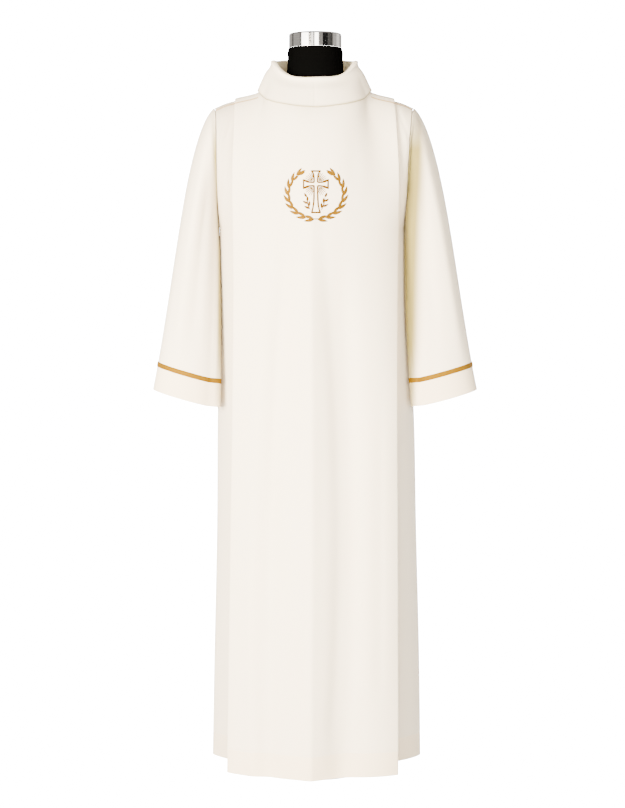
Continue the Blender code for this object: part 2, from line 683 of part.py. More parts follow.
def make_pole(paint, collection):
    """The pole between the plate and the form's underside."""
    low = BASE_MIDDLE + SEAM_GAP
    high = FORM_RINGS[0].z - SEAM_GAP
    bpy.ops.mesh.primitive_cylinder_add(vertices=POLE_SIDES, radius=POLE_RADIUS, depth=high - low,
                                        location=(0.0, 0.0, (low + high) / 2))
    item = bpy.context.object
    item.name = "form_pole"
    item.data.name = "form_pole"
    item.data.materials.append(paint)
    for owner in list(item.users_collection):
        owner.objects.unlink(item)
    collection.objects.link(item)
    return item


def make_torso(paint, collection):
    """The limbless form: oval rings from hip to neck, closed at both ends."""
    work = bmesh.new()
    rings = []
    for ring in FORM_RINGS:
        points = []
        for i in range(FORM_SIDES):
            angle = 2 * pi * i / FORM_SIDES
            points.append(work.verts.new((ring.half_width * sin(angle),
                                          ring.y - ring.half_depth * cos(angle), ring.z)))
        rings.append(points)
    for low, high in zip(rings, rings[1:]):
        for i in range(FORM_SIDES):
            j = (i + 1) % FORM_SIDES
            work.faces.new((low[i], low[j], high[j], high[i]))
    work.faces.new(rings[0][::-1])
    work.faces.new(rings[-1])
    bmesh.ops.recalc_face_normals(work, faces=work.faces)
    mesh = bpy.data.meshes.new("form_torso")
    work.to_mesh(mesh)
    work.free()
    mesh.shade_smooth()
    mesh.set_sharp_from_angle(angle=radians(FORM_SHARP_DEGREES))
    item = bpy.data.objects.new("form_torso", mesh)
    item.data.materials.append(paint)
    collection.objects.link(item)
    return item


def main():
    """Build the alb and its form."""
    clear_scene()
    collection = bpy.data.collections.new("alb_on_dress_form")
    bpy.context.scene.collection.children.link(collection)
    cloth = make_paint(CLOTH_PAINT)
    braid = make_paint(BRAID_PAINT)
    black = make_paint(FORM_PAINT)
    chrome = make_paint(CAP_PAINT)
    enamel = make_paint(STAND_PAINT)
    front = body_half(-1, FRONT_FOLDS, FRONT_PLEATS)
    back = body_half(1, BACK_FOLDS, BACK_PLEATS)
    grid_object("alb_front", front, False, CLOTH, cloth, collection)
    grid_object("alb_back", back, False, CLOTH, cloth, collection, flip=True)
    for name, sleeve in (("left", LEFT_SLEEVE), ("right", RIGHT_SLEEVE)):
        rows = (*SLEEVE_ROWS, *braid_rows(sleeve, front, back), 1.0)
        grid = sleeve_grid(sleeve, front, back, rows)
        inward = sleeve.side < 0
        grid_object("sleeve_" + name, grid, True, CLOTH, cloth, collection, flip=inward)
        band = braid_grid(sleeve, front, back)
        grid_object("cuff_braid_" + name, band, True, BRAID, braid, collection, flip=inward)
    grid_object("collar", collar_grid(front, back), True, COLLAR_CLOTH, cloth, collection)
    make_torso(black, collection)
    make_cap(chrome, collection)
    make_pole(enamel, collection)
    make_base(enamel, collection)


main()
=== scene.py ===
"""Looks of an ivory alb on a black limbless dress form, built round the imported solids.

Metres, +Z up, the front faces -Y, and left is the left of someone looking at the front. Each cloth
piece is a surface of two parameters worked out with numpy, with the pleats, folds and hems laid on
it, and it stands for its CAD solid. The embroidery is satin stitch laid on the front panel.
"""

import logging
from collections.abc import Callable
from dataclasses import dataclass
from enum import Enum
from functools import partial
from math import pi, radians

import bpy
import numpy as np
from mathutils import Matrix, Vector
from mathutils.bvhtree import BVHTree


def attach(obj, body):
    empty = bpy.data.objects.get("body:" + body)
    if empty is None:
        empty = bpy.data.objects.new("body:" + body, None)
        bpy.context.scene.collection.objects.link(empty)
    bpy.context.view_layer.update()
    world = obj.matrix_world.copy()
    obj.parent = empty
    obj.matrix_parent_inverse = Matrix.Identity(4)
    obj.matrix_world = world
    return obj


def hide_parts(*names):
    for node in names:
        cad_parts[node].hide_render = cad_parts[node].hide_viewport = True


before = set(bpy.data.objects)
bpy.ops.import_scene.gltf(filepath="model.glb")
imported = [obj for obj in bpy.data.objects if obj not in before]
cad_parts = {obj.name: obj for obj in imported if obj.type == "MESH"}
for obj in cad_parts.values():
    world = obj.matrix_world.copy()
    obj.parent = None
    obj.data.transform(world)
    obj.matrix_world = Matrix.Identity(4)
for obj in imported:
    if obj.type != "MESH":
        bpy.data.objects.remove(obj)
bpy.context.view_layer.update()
LOG = logging.getLogger("alb")
# A wave texture's Scale times its distance between crests, for straight and for slanting bands
STRAIGHT_WAVE = 0.314
SLANTING_WAVE = 0.444
ROOT = "root"
Array = np.ndarray
Item = bpy.types.Object
Material = bpy.types.Material
Node = bpy.types.Node
Socket = bpy.types.NodeSocket
Tree = bpy.types.NodeTree
Adder = Callable[..., Node]
Place = tuple[float, float, float]
Rows = tuple[tuple[float, ...], ...]


class Side(Enum):
    """Left and right as seen from the front, with the sign of X."""

    LEFT = -1
    RIGHT = 1


class Half(Enum):
    """Front and back of the alb, with the sign of Y."""

    FRONT = -1
    BACK = 1


def cubic(t: Array, start: Array, leave: Array, end: Array, arrive: Array) -> Array:
    """A cubic from start to end that leaves and arrives along the given vectors.

    Args:
        t: Share of the way, 0 to 1.
        start, leave: Value and slope at 0.
        end, arrive: Value and slope at 1.

    Returns:
        The values at t, by the Hermite formula.
    """
    return ((2 * t**3 - 3 * t**2 + 1) * start + (t**3 - 2 * t**2 + t) * leave
            + (3 * t**2 - 2 * t**3) * end + (t**3 - t**2) * arrive)


def smooth_between(at: Array, places: Array, values: Array) -> Array:
    """A cubic through values, with the slope at each worked out from its neighbours.

    Args:
        at: Where to read, any shape.
        places: Rising places of the values.
        values: One value, or one array, for each place.

    Returns:
        The values there, with the shape of at and then that of one value.
    """
    places = np.asarray(places, float)
    values = np.asarray(values, float)
    slopes = np.gradient(values, places, axis=0)
    at = np.clip(np.asarray(at, float), places[0], places[-1])
    index = np.clip(np.searchsorted(places, at, side="right") - 1, 0, len(places) - 2)
    shape = at.shape + (1,) * (values.ndim - 1)
    span = (places[index + 1] - places[index]).reshape(shape)
    t = (at - places[index]).reshape(shape) / span
    return cubic(t, values[index], slopes[index] * span, values[index + 1], slopes[index + 1] * span)


def column(rows: Rows, index: int, z: Array) -> Array:
    """One column of a table whose first column is the height, read smoothly at z."""
    table = np.array(rows)
    return smooth_between(z, table[:, 0], table[:, index])


def ease(t: Array) -> Array:
    """0 to 1 with level ends, clipped outside."""
    t = np.clip(t, 0, 1)
    return t * t * (3 - 2 * t)


def bell(distance: Array, spread: float) -> Array:
    """A smooth bump: 1 at distance 0, falling off over the spread."""
    return np.exp(-(distance / spread) ** 2)


def unit(vectors: Array) -> Array:
    """The vectors at length 1."""
    return vectors / np.maximum(np.linalg.norm(vectors, axis=-1, keepdims=True), 1e-12)


def lengths_along(points: Array, axis: int) -> Array:
    """Distance run along one axis of a grid of points, starting from 0."""
    step = np.linalg.norm(np.diff(points, axis=axis), axis=-1)
    start = np.zeros_like(np.take(step, [0], axis=axis))
    return np.concatenate([start, np.cumsum(step, axis=axis)], axis=axis)


def read_line(at: Array, run: Array, points: Array) -> Array:
    """Points of a line read at distances along it, straight between neighbours."""
    return np.stack([np.interp(at, run, values) for values in points.T], axis=-1)


def crossed_slopes(points: Array, wrap: bool = False) -> Array:
    """Unit normals of a grid of points, in one sense over the whole grid.

    Args:
        points: Grid, rows by columns by 3.
        wrap: Whether the last column meets the first.

    Returns:
        The cross product of the grid's two slopes, at length 1.
    """
    if wrap:
        points = np.concatenate([points[:, -1:], points, points[:, :1]], axis=1)
    normals = unit(np.cross(np.gradient(points, axis=1), np.gradient(points, axis=0)))
    return normals[:, 1:-1] if wrap else normals


def grid_normals(points: Array, outward: Array, wrap: bool = False) -> Array:
    """The normals of a grid, each turned to the side that outward names at its point."""
    normals = crossed_slopes(points, wrap)
    flip = np.sum(normals * outward, axis=-1, keepdims=True) < 0
    return np.where(flip, -normals, normals)


@dataclass
class Unevenness:
    """Seeded long soft waves, so that no two stretches of cloth are alike.

    The height is a sum of plane waves of random direction, phase and length.
    """

    seed: int
    height: float = 0.0006
    shortest: float = 0.06
    longest: float = 0.26
    waves: int = 14

    def at(self, across: Array, along: Array) -> Array:
        """Height of the waves at places in metres across and along the cloth."""
        chance = np.random.default_rng(self.seed)
        length = chance.uniform(self.shortest, self.longest, self.waves)
        turn = chance.normal(0.0, 0.45, self.waves)
        phase = chance.uniform(0, 2 * pi, self.waves)
        total = np.zeros(np.broadcast(across, along).shape)
        for size, angle, start in zip(length, turn, phase):
            place = across * np.cos(angle) + along * np.sin(angle) * 0.6
            total += np.sin(place * 2 * pi / size + start) * size / self.longest
        return total * self.height / np.sqrt(self.waves / 2)


@dataclass
class Wall:
    """A cloth's two faces and its rounded rims, as one loop of rows round a grid of points.

    Rows run up the outer face, over the upper rim, down the inner face and round the lower rim.
    At each rim the cloth ends in a half circle of its own thickness, which touches the grid's edge.
    """

    middle: Array
    normals: Array
    thickness: float
    rim: int = 4

    def around(self, values: Array) -> Array:
        """Values of the grid carried round the loop of rows."""
        low = np.repeat(values[:1], self.rim, axis=0)
        high = np.repeat(values[-1:], self.rim, axis=0)
        loop = np.concatenate([values, high, values[::-1], low])
        return np.roll(loop, self.rim // 2, axis=0)

    def points(self) -> Array:
        """The loop's points: middle plus or minus half the thickness along the normal."""
        half = self.thickness / 2
        core = self.middle.copy()
        low = unit(core[0] - core[1])
        high = unit(core[-1] - core[-2])
        core[0] -= low * half
        core[-1] -= high * half
        turns = (np.arange(self.rim) + 1) * pi / (self.rim + 1)
        cosine = np.cos(turns)[:, None, None]
        sine = np.sin(turns)[:, None, None]
        upper = core[-1] + half * (cosine * self.normals[-1] + sine * high)
        lower = core[0] + half * (sine * low - cosine * self.normals[0])
        outer = core + self.normals * half
        inner = (core - self.normals * half)[::-1]
        return np.roll(np.concatenate([outer, upper, inner, lower]), self.rim // 2, axis=0)


def grid_quads(rows: int, columns: int, round_rows: bool, round_columns: bool) -> Array:
    """Quads over a grid of points, row after row.

    Args:
        rows, columns: Size of the grid.
        round_rows, round_columns: Whether the last row or column runs back to the first.

    Returns:
        The corners of each quad.
    """
    r = np.arange(rows if round_rows else rows - 1)[:, None]
    c = np.arange(columns if round_columns else columns - 1)[None]
    up = (r + 1) % rows
    beside = (c + 1) % columns
    corners = np.broadcast_arrays(r * columns + c, r * columns + beside, up * columns + beside,
                                  up * columns + c)
    return np.stack(corners, axis=-1).reshape(-1, 4)


def loop_faces(rows: int, columns: int, closed: bool) -> tuple[Array, Array]:
    """Quads over a grid whose rows close on themselves.

    Args:
        rows, columns: Size of the grid.
        closed: Whether the columns close too. If not, each end is zipped shut across the wall.

    Returns:
        The quads, and for each whether it runs from the last column back to the first.
    """
    quads = grid_quads(rows, columns, True, closed)
    if closed:
        return quads, np.arange(len(quads)) % columns == columns - 1
    j = np.arange(rows // 2 - 1)
    k = rows - 1 - j
    first = np.stack([j, j + 1, k - 1, k], axis=-1) * columns
    last = first[:, ::-1] + columns - 1
    quads = np.concatenate([quads, first, last])
    return quads, np.zeros(len(quads), bool)


def volume_of(vertices: Array, faces: Array) -> float:
    """Signed volume inside closed faces: the sum of the tetrahedra from the origin."""
    a = vertices[faces[:, 0]]
    total = 0.0
    for i in range(1, faces.shape[1] - 1):
        total += np.sum(a * np.cross(vertices[faces[:, i]], vertices[faces[:, i + 1]])) / 6
    return float(total)


def add_mesh(name: str, vertices: Array, faces: Array, uv: Array, material: Material,
             values: dict[str, Array] | None = None, crossing: Array | None = None,
             turn: float = 0.0) -> Item:
    """A smooth closed mesh with a UV map in metres and named values at its points.

    Args:
        name: The piece's name.
        vertices: Points, n by 3.
        faces: Corners of faces, all with the same number, in either direction.
        uv: Metres across and along the cloth at each point.
        material: Its finish.
        values: Further numbers at each point, by name.
        crossing: For each face, whether it runs back over the seam where uv starts again.
        turn: How far uv's first number has run there.

    Returns:
        The new object, with its faces pointing outwards.
    """
    if volume_of(vertices, faces) < 0:
        faces = faces[:, ::-1]
    mesh = bpy.data.meshes.new(name)
    mesh.from_pydata(vertices.tolist(), [], faces.tolist())
    corner_uv = uv[faces].copy()
    if crossing is not None and crossing.any():
        wrapped = crossing[:, None] & (corner_uv[..., 0] < turn / 2)
        corner_uv[..., 0] += np.where(wrapped, turn, 0.0)
    layer = mesh.uv_layers.new(name="cloth")
    layer.data.foreach_set("uv", corner_uv.reshape(-1, 2).astype(np.float32).ravel())
    for key, numbers in (values or {}).items():
        attribute = mesh.attributes.new(key, "FLOAT", "POINT")
        attribute.data.foreach_set("value", numbers.astype(np.float32).ravel())
    mesh.materials.append(material)
    mesh.shade_smooth()
    item = bpy.data.objects.new(name, mesh)
    bpy.context.scene.collection.objects.link(item)
    LOG.info("%s: %d faces", name, len(faces))
    return item


def add_cloth(name: str, wall: Wall, closed: bool, material: Material,
              values: dict[str, Array] | None = None) -> Item:
    """A cloth piece from its wall, with distances over the middle surface as its UV map.

    Args:
        name: The piece's name.
        wall: The cloth's two faces and rims.
        closed: Whether the cloth is a tube, whose last column meets the first.
        material: Its finish.
        values: Further numbers at each point of the middle surface.

    Returns:
        The new object.
    """
    middle = wall.middle
    across = lengths_along(middle, 1)
    across = np.broadcast_to(across.mean(axis=0), across.shape)
    along = np.broadcast_to(lengths_along(middle, 0).mean(axis=1)[:, None], across.shape)
    turn = float(across[0, -1] + np.linalg.norm(middle[:, -1] - middle[:, 0], axis=-1).mean())
    if not closed:
        across = across - across[0, middle.shape[1] // 2]
    uv = wall.around(np.stack([across, along], axis=-1))
    points = wall.points()
    faces, crossing = loop_faces(points.shape[0], points.shape[1], closed)
    held = {key: wall.around(numbers).ravel() for key, numbers in (values or {}).items()}
    return add_mesh(name, points.reshape(-1, 3), faces, uv.reshape(-1, 2), material, held,
                    crossing, turn if closed else 0.0)


def linear(colour: str) -> tuple[float, float, float, float]:
    """An sRGB hex colour as linear red, green, blue and full alpha."""
    shares = np.array([int(colour[i:i + 2], 16) / 255 for i in (1, 3, 5)])
    values = np.where(shares <= 0.04045, shares / 12.92, ((shares + 0.055) / 1.055) ** 2.4)
    return (*map(float, values), 1.0)


def add_node(tree: Tree, kind: str, inputs: dict | None = None, **settings: object) -> Node:
    """Adds a node with its settings, its input values and its links.

    Args:
        tree: The material's or world's node tree.
        kind: Blender's name of the node type, without the ShaderNode that it starts with.
        inputs: For each input, by name or number, a value, the socket that feeds it, or a node
            whose first output feeds it.
        settings: The node's own properties.

    Returns:
        The node.
    """
    node = tree.nodes.new("ShaderNode" + kind)
    for key, value in settings.items():
        setattr(node, key, value)
    for key, value in (inputs or {}).items():
        if isinstance(value, Node):
            value = value.outputs[0]
        if isinstance(value, Socket):
            tree.links.new(value, node.inputs[key])
        else:
            node.inputs[key].default_value = value
    return node


@dataclass(frozen=True)
class Finish:
    """A node material: patterns that feed one Principled shader."""

    name: str

    def inputs(self, add: Adder) -> dict:
        """The shader's inputs by name, each a value, a pattern's node or its socket."""
        raise NotImplementedError

    def build(self) -> Material:
        """The finish as a material, with its shader and output after its patterns."""
        material = bpy.data.materials.new(self.name)
        material.use_nodes = True
        material.node_tree.nodes.clear()
        add = partial(add_node, material.node_tree)
        add("OutputMaterial", {"Surface": add("BsdfPrincipled", self.inputs(add))})
        return material


@dataclass(frozen=True)
class IvoryTwill(Finish):
    """Ivory twill of polyester and wool: a matt cloth with a fine diagonal rib.

    The rib is about 0.5 mm in the cloth and is drawn 1.4 mm wide, as coarse as it needs to show.
    Where the cloth lies double, in the hems, it looks a little warmer and denser. Deep in a fold
    the colour is darkened towards a warm yellow, painted shade for light that goes from ivory to
    ivory, and the strips behind the panel are darkened grey by painted shade. Along the pressed
    seam below the shoulder line lies a fine warm painted shadow line.
    """

    name: str = "ivory_wool_blend_twill"
    colour: str = "#F0E7D6"
    warm: str = "#EEDFC4"
    fibre: str = "#E8DDCA"
    # painted shade: the warm yellow that deep folds, the collar's stand and its lower edge darken towards
    painted_fold_shade: str = "#80753F"
    # painted shade: the grey that the strips behind the panel are darkened towards
    shade: str = "#A79F92"
    # painted shade: the shadow line along the pressed seam below the shoulder line
    seam: str = "#B48A45"
    glow: str = "#FFF6E6"
    rib: float = 0.0014
    relief: float = 0.00008
    seam_shade_width: float = 0.0014
    roughness: float = 0.82
    sheen: float = 0.12

    def inputs(self, add: Adder) -> dict:
        """The rib on the UV map, clouds in the colour, a warmer hem, and painted shade where marked."""
        place = add("UVMap", uv_map="cloth")
        rib = add("TexWave", {"Vector": place, "Scale": SLANTING_WAVE / self.rib, "Distortion": 0.6,
                              "Detail": 2.0, "Detail Scale": 3.0}, bands_direction="DIAGONAL")
        yarn = add("TexNoise", {"Vector": place, "Scale": 900.0, "Detail": 3.0})
        slub = add("Mapping", {"Vector": place, "Scale": (26.0, 3.0, 1.0)})
        cloud = add("TexNoise", {"Vector": slub, "Scale": 1.0, "Detail": 4.0})
        surface = add("Math", {0: yarn, 1: 0.7, 2: rib.outputs["Fac"]}, operation="MULTIPLY_ADD")
        bump = add("Bump", {"Height": surface, "Strength": 0.35, "Distance": self.relief})
        tone = add("MapRange", {"Value": cloud, 1: 0.35, 2: 0.75, 3: 0.0, 4: 0.3})
        doubled, deep, behind, seam = (
            add("Attribute", attribute_name=mark).outputs["Fac"]
            for mark in ("doubled", "deep", "behind", "seam_shade_place"))
        # a painted shadow line along the seam
        on_seam = add("Math", {0: seam, 1: 1.0, 2: self.seam_shade_width}, operation="COMPARE")
        seam_shade_share = add("Math", {0: on_seam, 1: 0.75}, operation="MULTIPLY")
        colour = linear(self.colour)
        # painted shade: the deep mark darkens folds, the behind mark darkens the strips grey, and the seam
        # line is a painted shadow line; the doubled hem and the clouds are the cloth's own tone
        for share, tint in ((yarn, self.fibre), (tone, self.warm), (doubled, self.warm),
                            (deep, self.painted_fold_shade), (behind, self.shade), (seam_shade_share, self.seam)):
            mix = add("Mix", {"Factor": share, "A": colour, "B": linear(tint)}, data_type="RGBA")
            colour = mix.outputs["Result"]
        return {"Base Color": colour, "Roughness": self.roughness, "Specular IOR Level": 0.22,
                "Sheen Weight": self.sheen, "Sheen Roughness": 0.45, "Sheen Tint": linear(self.glow),
                "Normal": bump}


@dataclass(frozen=True)
class TwoTone(Finish):
    """A finish of two colours mixed by a pattern, which also raises its surface."""

    colour: str
    shade: str
    roughness: float
    metallic: float

    def mixed(self, add: Adder, share: Node | Socket, height: Node | Socket, strength: float,
              distance: float, specular: float = 0.5) -> dict:
        """The shader's inputs for two colours and a relief.

        Args:
            add: Adds a node to the material.
            share: Share of the second colour.
            height, strength, distance: The relief, how strongly it shows and its full height.
            specular: The shader's specular level.

        Returns:
            The inputs by name.
        """
        mix = add("Mix", {"Factor": share, "A": linear(self.colour), "B": linear(self.shade)},
                  data_type="RGBA")
        bump = add("Bump", {"Height": height, "Strength": strength, "Distance": distance})
        return {"Base Color": mix.outputs["Result"], "Roughness": self.roughness,
                "Metallic": self.metallic, "Specular IOR Level": specular, "Normal": bump}


@dataclass(frozen=True)
class GoldBraid(TwoTone):
    """Narrow braid of gilt metallic yarn, woven in a steep twill that glints along its ribs."""

    name: str = "gilt_twill_braid"
    colour: str = "#694B00"
    shade: str = "#543900"
    roughness: float = 0.55
    metallic: float = 0.12
    rib: float = 0.0026

    def inputs(self, add: Adder) -> dict:
        """Slanting ribs on the UV map, darker between them, with the yarn's own unevenness."""
        place = add("UVMap", uv_map="cloth")
        rib = add("TexWave", {"Vector": place, "Scale": SLANTING_WAVE / self.rib, "Distortion": 0.4,
                              "Detail": 1.0}, bands_direction="DIAGONAL")
        yarn = add("TexNoise", {"Vector": place, "Scale": 420.0, "Detail": 3.0})
        woven = add("Math", {0: yarn, 1: 0.45, 2: rib.outputs["Fac"]}, operation="MULTIPLY_ADD")
        dark = add("MapRange", {"Value": woven, 1: 0.1, 2: 1.0, 3: 1.0, 4: 0.0})
        return self.mixed(add, dark, woven, 0.6, 0.0002, 0.02)


@dataclass(frozen=True)
class GoldThread(TwoTone):
    """Gold rayon embroidery thread: silky, laid side by side, darker between the threads.

    Threads of 0.4 mm are drawn 0.8 mm apart, as coarse as they need to show.
    """

    colour: str = "#5C4002"
    shade: str = "#4A3000"
    roughness: float = 0.45
    metallic: float = 0.25
    pitch: float = 0.0008

    def inputs(self, add: Adder) -> dict:
        """Thread lines across the piece's run, on the UV map, with patches in their tone."""
        place = add("UVMap", uv_map="cloth")
        lines = add("TexWave", {"Vector": place, "Scale": STRAIGHT_WAVE / self.pitch,
                                "Distortion": 0.3}, bands_direction="X").outputs["Fac"]
        patch = add("TexNoise", {"Vector": place, "Scale": 160.0, "Detail": 2.0})
        tone = add("Math", {0: lines, 1: 0.55, 2: patch}, operation="MULTIPLY_ADD")
        dark = add("MapRange", {"Value": tone, 1: 0.35, 2: 1.05, 3: 1.0, 4: 0.0})
        return self.mixed(add, dark, lines, 0.5, 0.00012, 0.02)


@dataclass(frozen=True)
class SewingThread(Finish):
    """Ivory polyester sewing thread, a tone warmer than the cloth, twisted."""

    name: str = "ivory_sewing_thread"
    colour: str = "#EDE4D3"
    roughness: float = 0.6

    def inputs(self, add: Adder) -> dict:
        """The thread's twist, as slanting lines on the UV map."""
        place = add("UVMap", uv_map="cloth")
        twist = add("TexWave", {"Vector": place, "Scale": 500.0}, bands_direction="DIAGONAL")
        bump = add("Bump", {"Height": twist.outputs["Fac"], "Strength": 0.4, "Distance": 0.00005})
        return {"Base Color": linear(self.colour), "Roughness": self.roughness, "Normal": bump}


@dataclass(frozen=True)
class BlackJersey(TwoTone):
    """Black knitted jersey stretched over the form: matt, with fine upright knit ribs."""

    name: str = "black_knit_jersey"
    colour: str = "#020202"
    shade: str = "#050505"
    roughness: float = 0.9
    metallic: float = 0.0
    rib: float = 0.0012

    def inputs(self, add: Adder) -> dict:
        """The knit's wales on the UV map, and its fluff."""
        place = add("UVMap", uv_map="cloth")
        wale = add("TexWave", {"Vector": place, "Scale": STRAIGHT_WAVE / self.rib, "Distortion": 0.5,
                               "Detail": 1.0}, bands_direction="X")
        fluff = add("TexNoise", {"Vector": place, "Scale": 600.0, "Detail": 4.0})
        height = add("Math", {0: fluff, 1: 0.5, 2: wale.outputs["Fac"]}, operation="MULTIPLY_ADD")
        return self.mixed(add, fluff, height, 0.4, 0.00015, 0.0)


@dataclass(frozen=True)
class PolishedMetal(TwoTone):
    """Chrome-plated steel or enamelled steel: smooth, with faint wear in the gloss."""

    def inputs(self, add: Adder) -> dict:
        """Hairlines from polishing, in the colour and as a faint relief."""
        place = add("TexCoord").outputs["Object"]
        stretch = add("Mapping", {"Vector": place, "Scale": (60.0, 60.0, 900.0)})
        hair = add("TexNoise", {"Vector": stretch, "Scale": 1.0, "Detail": 5.0})
        share = add("MapRange", {"Value": hair, 1: 0.45, 2: 0.8})
        return self.mixed(add, share, hair, 0.05, 0.00002)


@dataclass(frozen=True)
class FloorPaper(Finish):
    """White studio paper that glows, so that it reads as white as the room."""

    glow: float

    def inputs(self, add: Adder) -> dict:
        """A matt white that gives off light."""
        return {"Base Color": linear("#E8E8E8"), "Roughness": 0.9, "Specular IOR Level": 0.0,
                "Emission Color": linear("#FFFFFF"), "Emission Strength": self.glow}


@dataclass(frozen=True)
class Emblem:
    """Middle and half sizes of the embroidered wreath on the front panel."""

    x: float = 0.001
    z: float = 1.206
    half_width: float = 0.056
    half_height: float = 0.05


@dataclass
class AlbBody:
    """Front and back of the alb: a centre panel, a knife pleat on each side and a side strip.

    Each level of the plain cloth is a superellipse. Above the underarm, rows run as cubics from
    that level to the neckline and the shoulder line. The pleats are a path of distances across
    the cloth and off it, and folds and unevenness move the plain cloth in and out.
    """

    thickness: float = 0.0012
    seam_gap: float = 0.0003
    hem_z: float = 0.02
    hem_depth: float = 0.05
    underarm_z: float = 1.14
    seam_y: float = 0.012
    round_x: float = 0.833
    round_y: float = 0.9
    # height, half width, sway, front depth, back depth
    levels: Rows = (
        (0.02, 0.2215, 0.003, 0.18, 0.186), (0.207, 0.218, 0.0035, 0.174, 0.178),
        (0.52, 0.21, 0.003, 0.162, 0.162), (0.766, 0.2055, 0.001, 0.151, 0.146),
        (0.98, 0.195, -0.0045, 0.141, 0.132), (1.14, 0.1915, -0.007, 0.133, 0.122))
    # x, z of the shoulder line from the neck point to the tip
    shoulder: Rows = ((0.094, 1.4235), (0.1165, 1.413), (0.159, 1.402), (0.182, 1.396),
                      (0.206, 1.3855))
    neck_share: float = 0.42
    shoulder_sway: float = -0.0025
    # depth, height, rise in y and z, bulge at the armhole
    front_neck: tuple[float, ...] = (0.086, 1.388, 0.144, 0.067, 0.062)
    back_neck: tuple[float, ...] = (0.088, 1.431, 0.15, 0.04, 0.066)
    # height, panel edge, drift to the right, fold under, layer spacing, hang of the strip
    front_pleats: Rows = (
        (0.02, 0.1668, -0.005, 0.0372, 0.007, 0.085), (0.52, 0.1627, -0.0023, 0.0318, 0.0062, 0.06),
        (0.766, 0.1607, -0.001, 0.0274, 0.0056, 0.04), (1.14, 0.1611, 0.0005, 0.0171, 0.0052, 0.014),
        (1.3, 0.1667, 0.0005, 0.0192, 0.0044, 0.01), (1.405, 0.163, -0.001, 0.0175, 0.0026, 0.0))
    back_pleats: Rows = (
        (0.02, 0.1716, -0.005, 0.042, 0.007, 0.051), (0.52, 0.1689, -0.0023, 0.038, 0.0062, 0.036),
        (0.766, 0.1683, -0.001, 0.035, 0.0056, 0.024), (1.14, 0.168, 0.0005, 0.024, 0.0052, 0.0036),
        (1.3, 0.1665, 0.0005, 0.019, 0.0044, 0.0), (1.405, 0.1605, -0.001, 0.015, 0.0026, 0.0))
    crease_radius: float = 0.0011
    crease_run: float = 0.016
    side_power: float = 6.0
    side_leave: float = 0.02
    side_arrive: float = 0.04
    shoulder_rise: float = 0.2
    side_rise_loss: float = 0.75
    shoulder_seam_gap: float = 0.00048
    soften_width: float = 0.17
    soften_run: float = 0.55
    soften_to: float = 0.8
    soften_fade: float = 0.14
    soften_least: float = 0.004
    soften_start: float = 0.12
    # height, and how far each half of the front panel lies behind the rounded cloth
    front_flat: Rows = ((0.02, 0.016), (0.35, 0.014), (0.7, 0.0125), (1.0, 0.0095),
                        (1.18, 0.005), (1.3, 0.0))
    flat_middle: float = -0.008
    flat_to: float = 0.172
    # x at the hem, x at the top, bow to the right, depth, spread, lowest and highest level
    front_folds: Rows = (
        (0.052, 0.038, 0.024, -0.0155, 0.037, 0.0, 1.16),
        (-0.092, -0.046, -0.018, -0.0065, 0.02, 0.0, 1.16),
        (0.078, 0.074, 0.0, -0.004, 0.014, 1.22, 1.37))
    back_folds: Rows = (
        (-0.02, -0.012, 0.0, -0.011, 0.032, 0.0, 1.14), (0.066, 0.048, 0.0, 0.006, 0.03, 0.0, 0.96),
        (-0.098, -0.08, 0.0, 0.005, 0.026, 0.0, 0.9), (0.128, 0.112, 0.0, -0.0055, 0.02, 0.0, 0.62))
    # the same for the smaller folds that only the scene has
    front_creases: Rows = (
        (0.03, 0.014, 0.024, -0.0024, 0.013, 0.1, 1.24), (-0.016, -0.01, 0.008, 0.0016, 0.012, 0.0, 1.2),
        (0.098, 0.078, 0.006, 0.0022, 0.018, 0.2, 1.14), (-0.12, -0.084, -0.016, 0.0036, 0.018, 0.0, 1.22),
        (-0.08, -0.06, -0.018, -0.001, 0.007, 0.1, 1.18), (0.126, 0.128, 0.0, -0.0014, 0.013, 0.2, 0.9))
    back_creases: Rows = (
        (-0.026, -0.018, 0.0, -0.0048, 0.016, 0.0, 1.1), (0.018, 0.012, 0.0, 0.0028, 0.014, 0.0, 1.02),
        (0.094, 0.08, 0.0, -0.0028, 0.014, 0.0, 0.84), (-0.062, -0.05, 0.0, 0.0024, 0.013, 0.2, 0.96))
    # x and z of both ends, depth and spread of the slanting creases beside the pleats at the chest
    strip_creases: Rows = (
        (0.165, 1.388, 0.197, 1.308, -0.0016, 0.0035), (-0.166, 1.372, -0.189, 1.3, -0.002, 0.004),
        (-0.188, 1.3, -0.194, 1.2, -0.0016, 0.004), (0.192, 1.34, 0.19, 1.2, -0.0012, 0.004))
    # how far below the shoulder line the seam's painted shadow line lies
    shoulder_seam: float = 0.0075
    # height, and the share of painted shade on the left and on the right strip
    strip_shade: Rows = ((0.02, 0.24, 0.0), (0.7, 0.28, 0.0), (1.2, 0.4, 0.0), (1.4, 0.4, 0.1))
    folds_to_x: float = 0.15
    folds_fade_x: float = 0.02
    fade_low: float = 0.1
    fade_high: float = 0.25
    # rows above the hem's edge and beside its stitch line, where the even rows keep away
    hem_rows: tuple[float, ...] = (0.0, 0.001, 0.003, 0.007)
    stitch_rows: tuple[float, ...] = (-0.0035, -0.0015, -0.0005, 0.0005, 0.0015, 0.0035)
    even_from: float = 0.014
    stitch_clear: float = 0.005
    lower_rows: int = 132
    upper_rows: int = 46
    turns: int = 361
    neck_columns: int = 26
    panel_columns: int = 22
    crease_columns: int = 5
    under_columns: int = 7
    strip_columns: int = 22
    relief_to_x: float = 0.185
    relief_to_z: float = 1.36
    stitch_groove: float = 0.00035
    pucker: float = 0.0005
    # waves round the wreath, phase and share of the height
    pucker_waves: Rows = ((7, 0.6, 1.0), (11, 2.1, 0.6))
    pucker_ring: float = 1.22
    pucker_spread: float = 0.42
    hem_blend: float = 0.0008
    seam_from: float = 0.02
    front_seed: int = 11
    back_seed: int = 23
    emblem: Emblem = Emblem()

